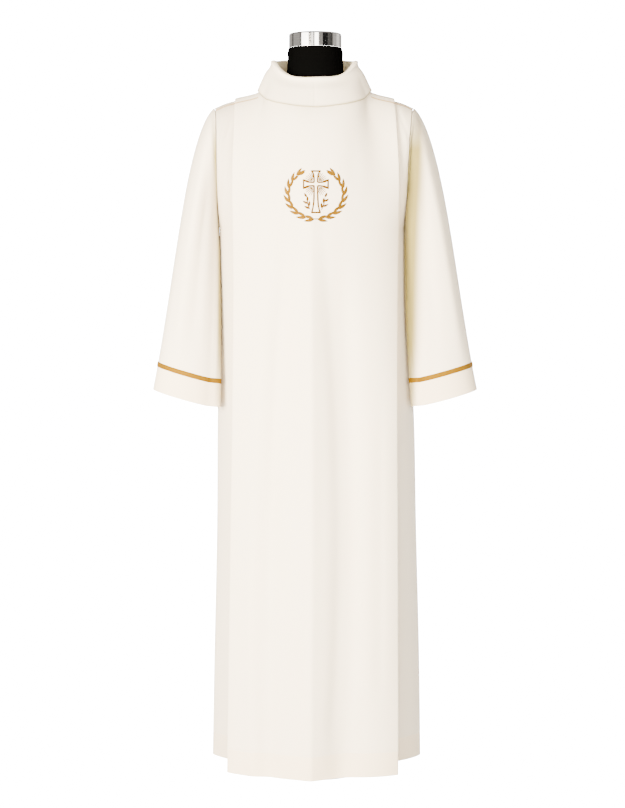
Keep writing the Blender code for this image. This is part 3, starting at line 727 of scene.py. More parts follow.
    def levels_and_steps(self) -> tuple[Array, Array]:
        """Height of each row up to the underarm, and share of the way above it for the others."""
        hem = self.hem_z + np.array(self.hem_rows)
        line = self.hem_z + self.hem_depth + np.array(self.stitch_rows)
        even = np.linspace(self.hem_z + self.even_from, self.underarm_z, self.lower_rows)
        even = even[np.abs(even - self.hem_z - self.hem_depth) > self.stitch_clear]
        z = np.sort(np.concatenate([hem, line, even]))
        z = np.concatenate([z, np.full(self.upper_rows, self.underarm_z)])
        step = np.concatenate([np.zeros(len(z) - self.upper_rows),
                               np.linspace(0, 1, self.upper_rows + 1)[1:]])
        return z, step

    def level_curve(self, z: Array, turn: Array, half: Half) -> Array:
        """One level: x is half width times sin to a power, y is depth times cos to a power."""
        depth = column(self.levels, 3 if half is Half.FRONT else 4, z)
        x = column(self.levels, 2, z) + (np.sign(turn) * column(self.levels, 1, z)
                                         * np.abs(np.sin(turn)) ** self.round_x)
        reach = half.value * depth - self.seam_y
        y = self.seam_y + reach * np.abs(np.cos(turn)) ** self.round_y
        return np.stack([x, y, np.broadcast_to(z, x.shape)], axis=-1)

    def top_curve(self, turn: Array, half: Half) -> Array:
        """The upper edge: a quarter ellipse of neckline, and then the shoulder line."""
        depth, z_middle = (self.front_neck if half is Half.FRONT else self.back_neck)[:2]
        line = np.array(self.shoulder)
        neck_x = line[0, 0]
        share = np.abs(turn) / (pi / 2)
        neck = np.clip(share / self.neck_share, 0, 1) * pi / 2
        along = np.clip((share - self.neck_share) / (1 - self.neck_share), 0, 1)
        on_neck = share < self.neck_share
        shoulder_x = neck_x + (line[-1, 0] - neck_x) * along
        x = np.where(on_neck, neck_x * np.sin(neck), shoulder_x)
        y = np.where(on_neck, half.value * depth * np.cos(neck), 0.0)
        rise = z_middle + (line[0, 1] - z_middle) * np.sin(neck) ** 2
        z = np.where(on_neck, rise, smooth_between(shoulder_x, line[:, 0], line[:, 1]))
        return np.stack([np.sign(turn) * x + self.shoulder_sway * along, y, z], axis=-1)

    def plain(self, half: Half) -> Array:
        """The plain cloth from seam to seam: level curves, then cubics up to the top edge."""
        turn = np.linspace(-pi / 2, pi / 2, self.turns)
        z, step = self.levels_and_steps()
        rise_y, rise_z, armhole = (self.front_neck if half is Half.FRONT else self.back_neck)[2:]
        under = self.level_curve(np.array([[self.underarm_z]]), turn[None], half)[0]
        top = self.top_curve(turn, half)
        on_side = np.abs(np.sin(turn)) ** self.side_power
        share = np.clip(np.abs(turn) / (pi / 2) / self.neck_share, 0, 1)
        leave = np.zeros_like(top)
        leave[:, 0] = np.sign(turn) * self.side_leave * on_side
        leave[:, 2] = top[:, 2] - self.underarm_z
        rise = rise_y + (self.shoulder_rise - rise_y) * share
        arrive = np.zeros_like(top)
        arrive[:, 0] = np.sign(turn) * self.side_arrive * on_side
        arrive[:, 1] = -half.value * rise * (1 - self.side_rise_loss * on_side)
        arrive[:, 2] = rise_z * (1 - share)
        lower = self.level_curve(z[:, None], turn[None], half)
        t = step[:, None, None]
        upper = cubic(t, under, leave, top, arrive)
        upper[..., 1] += half.value * armhole * np.sin(pi * step)[:, None] * on_side
        return self.softened(np.where(t > 0, upper, lower), turn, step)

    def softened(self, plain: Array, turn: Array, step: Array) -> Array:
        """The plain cloth without the sharp line below the neck point, where two curves meet.

        Each point goes to a bell-shaped mean of its row, over a width that grows from nothing at
        the top edge. The outer parts of each row, next to the armholes, stay as they are.
        """
        spread = self.soften_width * ease((1 - step) / self.soften_run) * (step > 0)
        held = ease((self.soften_to - np.abs(turn) / (pi / 2)) / self.soften_fade)[:, None]
        away = turn[:, None] - turn[None]
        found = plain.copy()
        for row in np.flatnonzero(spread > self.soften_least):
            weight = bell(away, spread[row])
            weight /= weight.sum(axis=1, keepdims=True)
            middle = weight @ plain[row]
            share = held * ease(step[row] / self.soften_start)
            found[row] = plain[row] * (1 - share) + middle * share
        return found

    def fold_depth(self, plain: Array, half: Half) -> Array:
        """How far the large soft folds move each point of the plain cloth out."""
        x = plain[..., 0]
        z = plain[..., 2]
        depth = np.zeros_like(x)
        rise = (z - self.hem_z) / (self.underarm_z - self.hem_z)
        for hem_x, top_x, bow, height, spread, low, high in (
                self.front_folds + self.front_creases if half is Half.FRONT
                else self.back_folds + self.back_creases):
            place = hem_x + (top_x - hem_x) * rise + bow * np.sin(pi * np.clip(rise, 0, 1))
            fade = np.clip((high - z) / self.fade_high, 0, 1)
            fade = ease(fade * np.clip((z - low) / self.fade_low + 0.5, 0, 1))
            depth += height * fade * bell(x - place, spread)
        return depth * np.clip((self.folds_to_x - np.abs(x)) / self.folds_fade_x, 0, 1)

    def flat_depth(self, plain: Array) -> Array:
        """How far the halves of the front panel lie behind the rounded cloth: half a sine each."""
        away = np.clip(np.abs(plain[..., 0] - self.flat_middle) / self.flat_to, 0, 1)
        return column(self.front_flat, 1, plain[..., 2]) * np.sin(pi * away)

    def fine_relief(self, plain: Array, half: Half) -> Array:
        """Unevenness, the hem's stitch line and, on the front, small creases and puckers.

        The stitch line is a shallow groove, and a slanting crease is a trough along a straight
        line. A pucker is a wave round the wreath, strongest at its edge and gone 40 mm outside.
        """
        x = plain[..., 0]
        z = plain[..., 2]
        waves = Unevenness(self.front_seed if half is Half.FRONT else self.back_seed).at(x, z)
        top = ease((self.relief_to_z - z) / 0.1)
        side = ease((self.relief_to_x - np.abs(x)) / 0.03)
        relief = waves * top * side
        relief -= self.stitch_groove * bell(z - self.hem_z - self.hem_depth, 0.0012)
        if half is Half.FRONT:
            for start_x, start_z, end_x, end_z, depth, spread in self.strip_creases:
                way = np.array([end_x - start_x, end_z - start_z])
                run = np.clip(((x - start_x) * way[0] + (z - start_z) * way[1]) / (way @ way), 0, 1)
                away = np.hypot(x - start_x - run * way[0], z - start_z - run * way[1])
                relief += depth * bell(away, spread) * (0.35 + 0.65 * np.sin(pi * run))
            away_x = (x - self.emblem.x) / self.emblem.half_width
            away_z = (z - self.emblem.z) / self.emblem.half_height
            radius = np.hypot(away_x, away_z)
            angle = np.arctan2(away_z, away_x)
            rays = sum(high * np.sin(count * angle + phase) for count, phase, high in self.pucker_waves)
            ring = bell(radius - self.pucker_ring, self.pucker_spread)
            relief += self.pucker * rays * ring * ease((radius - 0.6) / 0.4)
        return relief

    def pleat_path(self, neck: Array, edge: Array, seam: Array, fold: Array,
                   layer: Array) -> tuple[Array, Array, Array]:
        """The path across half the cloth at every row, from the middle to the side seam.

        The panel lies two layers off the plain cloth and is pressed to a sharp crease at its edge.
        The cloth runs back under it, one layer lower, turns again and comes out as the side strip.

        Args:
            neck, edge, seam: Distances from the middle to the neck point, the panel's edge and
                the seam, one for each row.
            fold, layer: How far the pleat folds under, and how far apart its layers lie.

        Returns:
            Distances across the cloth, distances off it, and shares of the strip's hang.
        """
        neck, edge, seam, fold, layer = (a[:, None] for a in (neck, edge, seam, fold, layer))
        radius = self.crease_radius
        flat_end = edge - radius
        inner_end = edge - fold + layer / 2
        shoulder = np.linspace(0, 1, self.neck_columns, endpoint=False)
        panel = np.linspace(0, 1, self.panel_columns, endpoint=False) ** 0.9
        angle = np.linspace(pi / 2, -pi / 2, self.crease_columns + 1)
        under = (np.arange(self.under_columns) + 1) / (self.under_columns + 1)
        run = (flat_end - inner_end) * under
        settle = ease(run / self.crease_run)
        strip = (np.arange(self.strip_columns) + 1) / self.strip_columns
        parts = (
            (neck * shoulder, 2 * layer, 0.0),
            (neck + (flat_end - neck) * panel, 2 * layer, 0.0),
            (flat_end + radius * np.cos(angle), 2 * layer - radius + radius * np.sin(angle), 0.0),
            (flat_end - run, (2 * layer - 2 * radius) * (1 - settle) + layer * settle, under),
            (inner_end - layer / 2 * np.cos(angle), layer / 2 * (1 + np.sin(angle)), 1.0),
            (inner_end + (seam - inner_end) * strip, 0.0, 1 - strip ** 2))
        whole = zip(*(np.broadcast_arrays(*part) for part in parts))
        return tuple(np.concatenate(values, axis=1) for values in whole)

    def pleated(self, half: Half) -> tuple[Array, Array]:
        """The pleated cloth as a grid of points, and its outward direction at each."""
        plain = self.plain(half)
        outward = plain - np.array([0.0, self.seam_y, 0.0])
        outward[..., 2] = np.maximum(outward[..., 2] - self.underarm_z, 0.0)
        normals = grid_normals(plain, outward)
        relief = self.fold_depth(plain, half) + self.fine_relief(plain, half)
        plain = plain + normals * relief[..., None]
        if half is Half.FRONT:
            plain[..., 1] += self.flat_depth(plain)
        middle = self.turns // 2
        z = plain[:, middle + middle // 2, 2]
        pleats = self.front_pleats if half is Half.FRONT else self.back_pleats
        edge_x, drift, fold, layer, hang = (column(pleats, i, z) for i in range(1, 6))
        hang = np.maximum(hang, 0.0)
        run = lengths_along(plain, 1)
        run -= run[:, middle:middle + 1]
        halves = []
        for side in Side:
            reach = slice(middle, None) if side is Side.RIGHT else slice(middle, None, -1)
            out = np.abs(run[:, reach])
            x = side.value * plain[:, reach, 0]
            neck = np.array([np.interp(self.shoulder[0][0], a, b) for a, b in zip(x, out)])
            place = edge_x + side.value * drift
            edge = np.array([np.interp(p, a, b) for p, a, b in zip(place, x, out)])
            across, off, share = self.pleat_path(neck, edge, out[:, -1], fold, layer)
            base = self.read_rows(across, out, plain[:, reach])
            lift = unit(self.read_rows(across, out, normals[:, reach]))
            points = base + lift * off[..., None]
            points[..., 1] -= half.value * hang[:, None] * share
            halves.append((points, lift, off))
        left, right = halves
        grid = np.concatenate([left[0][:, ::-1], right[0][:, 1:]], axis=1)
        away = np.concatenate([left[1][:, ::-1], right[1][:, 1:]], axis=1)
        grid[:, 0, 1] += half.value * self.seam_gap
        grid[:, -1, 1] += half.value * self.seam_gap
        shoulder = np.abs(grid[-1, :, 0]) > self.shoulder[0][0] * 0.9
        grid[-1, :, 1] += half.value * self.shoulder_seam_gap * shoulder
        return grid, self.cloth_normals(grid, away)

    @staticmethod
    def read_rows(across: Array, out: Array, points: Array) -> Array:
        """Points of each row read at distances across it."""
        return np.array([read_line(*row) for row in zip(across, out, points)])

    @staticmethod
    def cloth_normals(grid: Array, away: Array) -> Array:
        """Normals that turn over with the cloth in the pleats: one sense over the whole grid."""
        normals = crossed_slopes(grid)
        middle = grid.shape[1] // 2
        return normals * np.sign(np.sum(normals[:, middle] * away[:, middle]))

    def marks(self, grid: Array, half: Half) -> dict[str, Array]:
        """Where the cloth lies double, its painted shade behind the panel, and its painted seam line.

        Args:
            grid: The pleated cloth.
            half: Front or back.

        Returns:
            doubled: 1 in the hem and 0 above it. behind: the share of painted shade on the strips,
                which lie behind the panel. seam_shade_place: 1 plus the signed distance from the seam
                below the shoulder line, where a painted shadow line lies.
        """
        top = self.hem_z + self.hem_depth
        z = grid[..., 2]
        doubled = 1 - ease((z - top + self.hem_blend) / (2 * self.hem_blend))
        line = np.array(self.shoulder)
        height = smooth_between(np.abs(grid[..., 0]), line[:, 0], line[:, 1])
        place = 1.0 + height - self.shoulder_seam - z
        place = np.where(np.abs(grid[..., 0]) > self.shoulder[0][0] + self.seam_from, place, 0.0)
        strip = self.under_columns + self.crease_columns + self.strip_columns + 1
        left, right = (column(self.strip_shade, i, z) for i in (1, 2))
        # painted shade on the strips that lie behind the panel
        behind = np.zeros(grid.shape[:2])
        behind[:, :strip] = left[:, :strip]
        behind[:, -strip:] = right[:, -strip:]
        return {"doubled": doubled, "behind": behind, "seam_shade_place": place * (half is Half.FRONT)}


@dataclass
class Sleeve:
    """A sleeve: for each point of the armhole, a cubic down to its point on the cuff.

    The cuff is an ellipse in plan, sloping from its inner to its outer corner. Soft folds run
    down it as bands at fixed angles round the sleeve.
    """

    side: Side
    outer: tuple[float, float]
    inner: tuple[float, float]
    push: float
    lean: float
    # angle round the sleeve, drift of the angle down it, depth, spread, start and end
    folds: Rows
    seed: int
    # the valley between the body and the sleeve: height, x, width, share of the painted shade, depth
    valley: Rows
    middle_y: float = -0.036
    half_depth: float = 0.0475
    push_top: float = 0.185
    gap: float = 0.0015
    clear: float = 0.0019
    clear_from: float = 0.75
    leave_y: float = -0.03
    leave_z: float = -0.105
    leave_z_top: float = -0.06
    arrive_x_top: float = 0.122
    arrive_z: float = -0.36
    arrive_z_top: float = -0.19
    thickness: float = 0.0012
    braid_low: float = 0.049
    braid_high: float = 0.059
    # share of the round next to the body that is drawn to it, and fade below the underarm
    drawn_share: float = 0.14
    drawn_fade: float = 0.05
    fold_start: float = 0.18
    fold_end: float = 0.22
    unevenness: float = 0.0007
    # half turns at which the relief starts and ends beside the body, and its fade
    relief_from: float = 0.1
    relief_to: float = 1.9
    relief_fade: float = 0.16
    valley_start: float = 0.035
    hem_blend: float = 0.004
    rows: int = 96
    band_rows: int = 6
    cuff_rows: int = 18

    def armhole(self, front: Array, back: Array, start: int) -> tuple[Array, int]:
        """Points round the armhole: up the front edge to the shoulder tip, down the back."""
        edge = 0 if self.side is Side.LEFT else -1
        up = front[start:, edge]
        down = back[start:, edge][::-1]
        loop = np.concatenate([up, down[1:-1]])
        tip = len(up) - 1
        loop[0] = (up[0] + down[-1]) / 2
        loop[tip] = (up[-1] + down[0]) / 2
        return loop, tip

    def angles(self, loop: Array, tip: int) -> Array:
        """Angle round the sleeve of each armhole point, half a turn for each edge by length."""
        step = np.linalg.norm(np.roll(loop, -1, axis=0) - loop, axis=1)
        along = np.concatenate([[0.0], np.cumsum(step)[:-1]])
        front = along[:tip + 1] / along[tip] * pi
        back = pi + (along[tip:] - along[tip]) / (along[-1] + step[-1] - along[tip]) * pi
        return np.concatenate([front, back[1:]])

    def body_side(self, body: AlbBody, y: Array, z: Array) -> Array:
        """How far out the plain body reaches at a depth and height, from its superellipse."""
        reach = np.where(y < body.seam_y, column(body.levels, 3, z) + body.seam_y,
                         column(body.levels, 4, z) - body.seam_y)
        share = np.clip(np.abs(y - body.seam_y) / reach, 0, 1) ** (1 / body.round_y)
        width = column(body.levels, 1, z) * np.sqrt(1 - share ** 2) ** body.round_x
        return width + self.side.value * column(body.levels, 2, z)

    def plain(self, body: AlbBody, loop: Array, angle: Array, t: Array) -> Array:
        """The sleeve's rings at shares t of the way down, leaned in and laid against the body.

        Args:
            body: What the sleeve's inner side lies against.
            loop, angle: The armhole's points and their angles round the sleeve.
            t: For each row and each point round it, a share of the way down.

        Returns:
            The rings. Below the underarm the inner side is drawn to the body and kept clear of it.
        """
        sign = self.side.value
        up = (1 - np.cos(angle)) / 2
        middle_x = (self.outer[0] + self.inner[0]) / 2
        half = (self.outer[0] - self.inner[0]) / 2
        cuff = np.stack([sign * (middle_x - half * np.cos(angle)),
                         self.middle_y - self.half_depth * np.sin(angle),
                         self.inner[1] + (self.outer[1] - self.inner[1]) * up], axis=-1)
        leave = np.stack([sign * (self.push + (self.push_top - self.push) * up),
                          self.leave_y * np.sin(angle), self.leave_z + self.leave_z_top * up], axis=-1)
        arrive = np.stack([sign * self.arrive_x_top * up, 0 * up,
                           self.arrive_z + self.arrive_z_top * up], axis=-1)
        start = loop + self.gap * np.array([sign, 0.0, 0.0])
        rings = cubic(t[..., None], start, leave, cuff, arrive)
        out = sign * rings[..., 0] - self.lean * np.sin(pi * t) * (1 - up) ** 2
        near = self.gap + (self.clear - self.gap) * np.minimum(1.0, t / self.clear_from)
        least = self.body_side(body, rings[..., 1], rings[..., 2]) + near
        below = rings[..., 2] < body.underarm_z
        drawn = (ease((self.drawn_share - up) / self.drawn_share)
                 * ease((body.underarm_z - rings[..., 2]) / self.drawn_fade))
        out = out + (least - out) * drawn * (out > least)
        rings[..., 0] = sign * np.where(below, np.maximum(out, least), out)
        return rings

    def relief(self, angle: Array, t: Array) -> Array:
        """How far folds and unevenness move the sleeve out, none next to the body."""
        angle = angle[None]
        depth = np.zeros(t.shape)
        for place, drift, height, spread, start, end in self.folds:
            away = (angle - place - drift * t + pi) % (2 * pi) - pi
            fade = ease((t - start) / self.fold_start) * ease((end - t) / self.fold_end)
            depth += height * fade * bell(away, spread)
        depth += Unevenness(self.seed, self.unevenness).at(angle * 0.06, t * 0.6)
        clear = (ease((angle / pi - self.relief_from) / self.relief_fade)
                 * ease((self.relief_to - angle / pi) / self.relief_fade))
        return depth * clear * ease(t / 0.1) * ease((1.0 - t) / 0.04 + 0.25)

    def shares(self, body: AlbBody, loop: Array, angle: Array) -> tuple[Array, tuple[Array, Array]]:
        """Shares down the sleeve for its rows, and the two between which the braid lies.

        Both edges of the braid run parallel to the cuff's edge, so they have a share for each
        point round the sleeve, and the other rows are spread evenly above, between and below.
        """
        fine = np.linspace(0, 1, 401)
        rings = self.plain(body, loop, angle, fine[:, None] * np.ones(len(angle)))
        from_cuff = lengths_along(rings[::-1], 0)[::-1]
        high, low = (np.array([np.interp(-distance, -run, fine) for run in from_cuff.T])
                     for distance in (self.braid_high, self.braid_low))
        above = (np.linspace(0, 1, self.rows, endpoint=False) ** 1.1)[:, None]
        between = np.linspace(0, 1, self.band_rows, endpoint=False)[:, None]
        below = np.linspace(0, 1, self.cuff_rows)[:, None]
        t = np.concatenate([high * above, high + (low - high) * between, low + (1 - low) * below])
        return t, (high, low)

    def in_valley(self, rings: Array) -> Array:
        """1 from the armhole to the middle of the valley beside it, and falling off outside."""
        middle, width = (column(self.valley, i, rings[..., 2]) for i in (1, 2))
        return bell(np.maximum(self.side.value * rings[..., 0] - middle, 0), width)

    def deep(self, rings: Array) -> Array:
        """Painted shade, up to 1 in the valley along the body, for light that goes from ivory to ivory."""
        return self.in_valley(rings) * np.clip(column(self.valley, 3, rings[..., 2]), 0, 1)

    def surface(self, body: AlbBody, loop: Array, angle: Array, t: Array) -> tuple[Array, Array]:
        """The sleeve's middle surface and outward normals at shares t."""
        rings = self.plain(body, loop, angle, t)
        sunk = self.in_valley(rings) * np.maximum(column(self.valley, 4, rings[..., 2]), 0)
        rings[..., 1] += sunk * np.sin(angle) * ease(t / self.valley_start)
        outward = rings - rings.mean(axis=1, keepdims=True)
        normals = grid_normals(rings, outward, wrap=True)
        rings = rings + normals * self.relief(angle, t)[..., None]
        return rings, grid_normals(rings, outward, wrap=True)


@dataclass
class CuffBraid:
    """Flat gold braid round a sleeve, with raised ribs that slant across it."""

    thickness: float = 0.0008
    gap: float = 0.00045
    rows: int = 12
    columns: int = 420
    rib_height: float = 0.00016
    ribs: int = 96
    slant: float = 2.2
    width: float = 0.01

    def wall(self, sleeve: Sleeve, body: AlbBody, loop: Array, angle: Array,
             band: tuple[Array, Array]) -> Wall:
        """The braid's wall: the sleeve's own surface between two rows, moved out past the cloth.

        Args:
            sleeve, body: What the braid lies on.
            loop, angle: The sleeve's armhole points and their angles.
            band: Shares down the sleeve of the braid's upper and lower edge.

        Returns:
            The wall, with slanting ribs in its middle surface.
        """
        t = band[0] + (band[1] - band[0]) * np.linspace(0, 1, self.rows)[:, None]
        spot = np.linspace(0, len(angle), self.columns, endpoint=False)
        points, normals = sleeve.surface(body, loop, angle, t)
        points = around_closed(points, spot)
        normals = unit(around_closed(normals, spot))
        out = sleeve.thickness / 2 + self.gap + self.thickness / 2
        slant = np.linspace(0, 1, self.columns, endpoint=False)[None] * self.ribs
        slant = slant + np.linspace(0, self.slant, self.rows)[:, None]
        ribs = self.rib_height * np.abs(np.sin(pi * slant))
        middle = points + normals * (out + ribs)[..., None]
        return Wall(middle, normals, self.thickness)


@dataclass
class Collar:
    """One wide band turned over on itself: stand inside, round fold at the top, fall outside.

    Ten key rows go from the neckline up the stand, over the rim and down the fall, and the
    surface is a smooth cubic through them.
    """

    thickness: float = 0.0018
    sway: float = -0.0014
    rim_half_width: float = 0.085
    rim_front: float = 0.075
    rim_back: float = 0.085
    rim_z: tuple[float, float, float] = (1.439, 1.479, 1.488)
    rim_radius: float = 0.004
    edge_half_width: float = 0.1165
    edge_front: float = 0.108
    edge_back: float = 0.115
    edge_z: tuple[float, float, float] = (1.38, 1.418, 1.42)
    fall_bow: float = 0.001
    edge_clear: float = 0.0021
    rows: int = 56
    columns: int = 260
    closer: float = 0.62
    crease_depth: float = 0.0006
    crease_spread: float = 0.02
    crease_fade: float = 0.01
    # height, shortest and longest of the rumples, and how far they reach across and back
    rumples: tuple[float, float, float] = (0.0009, 0.05, 0.16)
    rumple_reach: tuple[float, float] = (0.11, 0.05)
    fade_low: float = 0.012
    fade_high: float = 0.02
    # shares of painted shade on the stand and along the lower edge
    stand_shade: float = 0.55
    edge_shade: float = 0.8
    chest: Place = (0.0, 0.0, 1.3)
    seed: int = 5

    def neck_ring(self, front: Array, back: Array, count: int) -> Array:
        """The neckline's own points once round from the middle of the front, to the right first."""
        middle = front.shape[1] // 2
        rights = [grid[-1, middle:middle + count + 1] for grid in (front, back)]
        lefts = [grid[-1, middle - count:middle + 1][::-1] for grid in (front, back)]
        corner_right = (rights[0][-1:] + rights[1][-1:]) / 2
        corner_left = (lefts[0][-1:] + lefts[1][-1:]) / 2
        return np.concatenate([rights[0][:-1], corner_right, rights[1][:-1][::-1],
                               lefts[1][1:-1], corner_left, lefts[0][1:-1][::-1]])

    def oval(self, bearing: Array, half_width: float, front: float, back: float,
             heights: tuple[float, float, float]) -> Array:
        """An oval with unlike halves, low in front, higher at the sides and highest behind."""
        ahead = np.cos(bearing) > 0
        depth = np.where(ahead, front, back)
        end = np.where(ahead, heights[0], heights[2])
        z = end + (heights[1] - end) * np.sin(bearing) ** 4
        return np.stack([self.sway + half_width * np.sin(bearing), -depth * np.cos(bearing), z],
                        axis=-1)

    def on_body(self, tree: BVHTree, targets: Array, clearance: float) -> Array:
        """Each point of a ring moved to the nearest point of the cloth, and then off it."""
        chest = Vector(self.chest)
        found = []
        for target in targets:
            place, normal, _, _ = tree.find_nearest(Vector(target))
            side = 1.0 if normal.dot(place - chest) > 0 else -1.0
            found.append(place + normal * side * clearance)
        return np.array([list(point) for point in found])

    def surface(self, body: AlbBody, front: Array, back: Array, tree: BVHTree) -> tuple[Array, Array]:
        """The band's middle surface and its normals, away from the inside of the fold."""
        ring = self.neck_ring(front, back, body.neck_columns)
        bearing = np.arange(len(ring)) * 2 * pi / len(ring)
        away = np.stack([np.sin(bearing), -np.cos(bearing), 0 * bearing], axis=-1)
        up = np.array([0.0, 0.0, 1.0])
        foot = ring + up * (body.thickness / 2 + body.seam_gap)
        rim = self.oval(bearing, self.rim_half_width, self.rim_front, self.rim_back, self.rim_z)
        edge = self.oval(bearing, self.edge_half_width, self.edge_front, self.edge_back, self.edge_z)
        edge = self.on_body(tree, edge, body.thickness / 2 + self.thickness / 2 + self.edge_clear)
        radius = self.rim_radius
        inside = rim - away * radius
        outside = rim + away * radius
        drop = outside - edge
        bow = away * self.fall_bow
        keys = np.array([foot, foot + (inside - foot) * 0.5, inside,
                         inside + up * radius * 0.75, rim + up * radius,
                         outside + up * radius * 0.6, outside - up * 0.002,
                         edge + drop * 0.62 + bow, edge + drop * 0.3 + bow * 0.8, edge])
        place = lengths_along(keys, 0).mean(axis=1)
        at = smooth_between(np.linspace(0, 9, self.rows), np.arange(10.0), place)
        band = smooth_between(at, place, keys)
        spots = self.bearings()
        band = around_closed(band, spots * len(ring) / (2 * pi))
        normals = crossed_slopes(band, wrap=True)
        outward = band[-1] - band[-1].mean(axis=0)
        normals = normals * np.sign(np.sum(normals[-1] * outward))
        relief = self.relief(spots, lengths_along(band, 0))
        return band + normals * relief[..., None], normals

    def deep(self, surface: Array) -> Array:
        """Painted shade: up to 1 on the stand and at the lower edge, which lie in shade, and 0 between
        them.
        """
        share = np.linspace(0, 1, self.rows)[:, None]
        shade = (self.stand_shade * ease((0.36 - share) / 0.1)
                 + self.edge_shade * ease((share - 0.975) / 0.02))
        return np.broadcast_to(shade, surface.shape[:2])

    def bearings(self) -> Array:
        """Bearings round the neck, closer together at the middle of the front."""
        even = np.linspace(0, 2 * pi, self.columns, endpoint=False)
        return even - self.closer * np.sin(even)

    def relief(self, bearing: Array, along: Array) -> Array:
        """Soft rumples, and a faint upright crease at the middle of the front of the fall."""
        wide, deep = self.rumple_reach
        waves = Unevenness(self.seed, *self.rumples)
        rumple = waves.at(np.sin(bearing)[None] * wide, along + np.cos(bearing)[None] * deep)
        total = along[-1:]
        fade = ease(along / self.fade_low) * ease((total - along) / self.fade_high + 0.15)
        away = np.minimum(bearing, 2 * pi - bearing)[None]
        crease = bell(away, self.crease_spread) * ease((along - total * 0.5) / self.crease_fade)
        crease[:self.rows * 4 // 9] = 0.0
        return rumple * fade - self.crease_depth * crease


def around_closed(points: Array, spots: Array) -> Array:
    """Columns of a tube's grid read smoothly at places round it, counted in columns."""
    padded = np.concatenate([points[:, -2:], points, points[:, :3]], axis=1)
    places = np.arange(padded.shape[1]) - 2.0
    return np.moveaxis(smooth_between(spots, places, np.moveaxis(padded, 1, 0)), 0, 1)


# Lowest and highest place and number of places of the lattice on the panel, across and up
LATTICE_X = (-0.09, 0.09, 181)
LATTICE_Z = (1.1, 1.32, 221)


@dataclass
class PanelMap:
    """Depth and normal of the front panel's outer face as functions of X and Z, on a lattice."""

    xs: Array
    zs: Array
    depth: Array
    normals: Array

    @classmethod
    def of(cls, grid: Array, normals: Array, half_thickness: float) -> "PanelMap":
        """Reads the panel by two rounds of straight interpolation, across and then up.

        Args:
            grid, normals: The panel's own columns of the front cloth.
            half_thickness: From the middle surface to the outer face.

        Returns:
            The lattice.
        """
        xs = np.linspace(*LATTICE_X)
        zs = np.linspace(*LATTICE_Z)
        rows = np.concatenate([grid, normals], axis=-1)
        across = np.array([read_line(xs, row[:, 0], row[:, 1:]) for row in rows])
        up = np.array([read_line(zs, across[:, j, 1], across[:, j, [0, 2, 3, 4]])
                       for j in range(len(xs))])
        lattice = np.swapaxes(up, 0, 1)
        face = unit(lattice[..., 1:])
        return cls(xs, zs, lattice[..., 0] + face[..., 1] * half_thickness, face)

    def read(self, flat: Array) -> tuple[Array, Array]:
        """Points on the outer face and normals there, at (x, z) places, by bilinear reading."""
        at_x, at_z = (np.clip((flat[..., k] - place[0]) / (place[1] - place[0]), 0, len(place) - 1.001)
                      for k, place in enumerate((self.xs, self.zs)))
        i = at_x.astype(int)
        j = at_z.astype(int)
        u = (at_x - i)[..., None]
        v = (at_z - j)[..., None]
        field_values = np.concatenate([self.depth[..., None], self.normals], axis=-1)
        low = field_values[j, i] * (1 - u) + field_values[j, i + 1] * u
        high = field_values[j + 1, i] * (1 - u) + field_values[j + 1, i + 1] * u
        value = low * (1 - v) + high * v
        place = np.stack([flat[..., 0], value[..., 0], flat[..., 1]], axis=-1)
        return place, unit(value[..., 1:])


# Half width of a leaf's tip, steps along a leaf, and points along a cord, a bar or ray and a stem
LEAF_TIP = 0.00012
LEAF_STEPS = 14
CORD_POINTS = 24
BAR_POINTS = 14
STEM_POINTS = 70


@dataclass
class SatinPatch:
    """One field of satin stitch: a path on the panel with half widths and a domed top."""

    path: Array
    half_width: Array
    height: float = 0.0007
    lift: float = 0.00006
    foot: float = 0.0001
    full_width: float = 0.001
    across: int = 7

    def loop(self, panel: PanelMap) -> tuple[Array, Array]:
        """The patch's closed cross-sections along the path, and its UV map in metres.

        The top is a half ellipse over the width, lower where the patch is narrow.
        """
        along = unit(np.gradient(self.path, axis=0))
        side = np.stack([-along[:, 1], along[:, 0]], axis=-1)
        v = -np.cos(np.linspace(0, pi, self.across))[:, None]
        flat = self.path[None] + side[None] * (self.half_width[None] * v)[..., None]
        base, normal = panel.read(flat)
        taper = np.minimum(1.0, self.half_width / self.full_width)[None]
        dome = self.height * np.sqrt(1 - v**2) * taper + self.foot
        top = base + normal * (self.lift + dome)[..., None]
        bottom = base + normal * self.lift
        run = lengths_along(self.path, 0)[None] + 0 * v
        uv = np.stack([run + self.half_width[None] * v * 0.35, self.half_width[None] * v], axis=-1)
        return np.concatenate([top, bottom[::-1]]), np.concatenate([uv, uv[::-1]])


def leaf(start: Array, direction: float, length: float, width: float, bend: float) -> SatinPatch:
    """A leaf from its foot, heading at an angle, bending by an angle, widest before its middle."""
    t = np.linspace(0, 1, LEAF_STEPS + 1)
    angle = direction + bend * t
    step = length / LEAF_STEPS * np.stack([np.cos(angle), np.sin(angle)], axis=-1)
    path = start + np.concatenate([[[0.0, 0.0]], np.cumsum(step[:-1], axis=0)])
    return SatinPatch(path, width * np.sin(pi * t ** 0.8) ** 0.9 + LEAF_TIP)


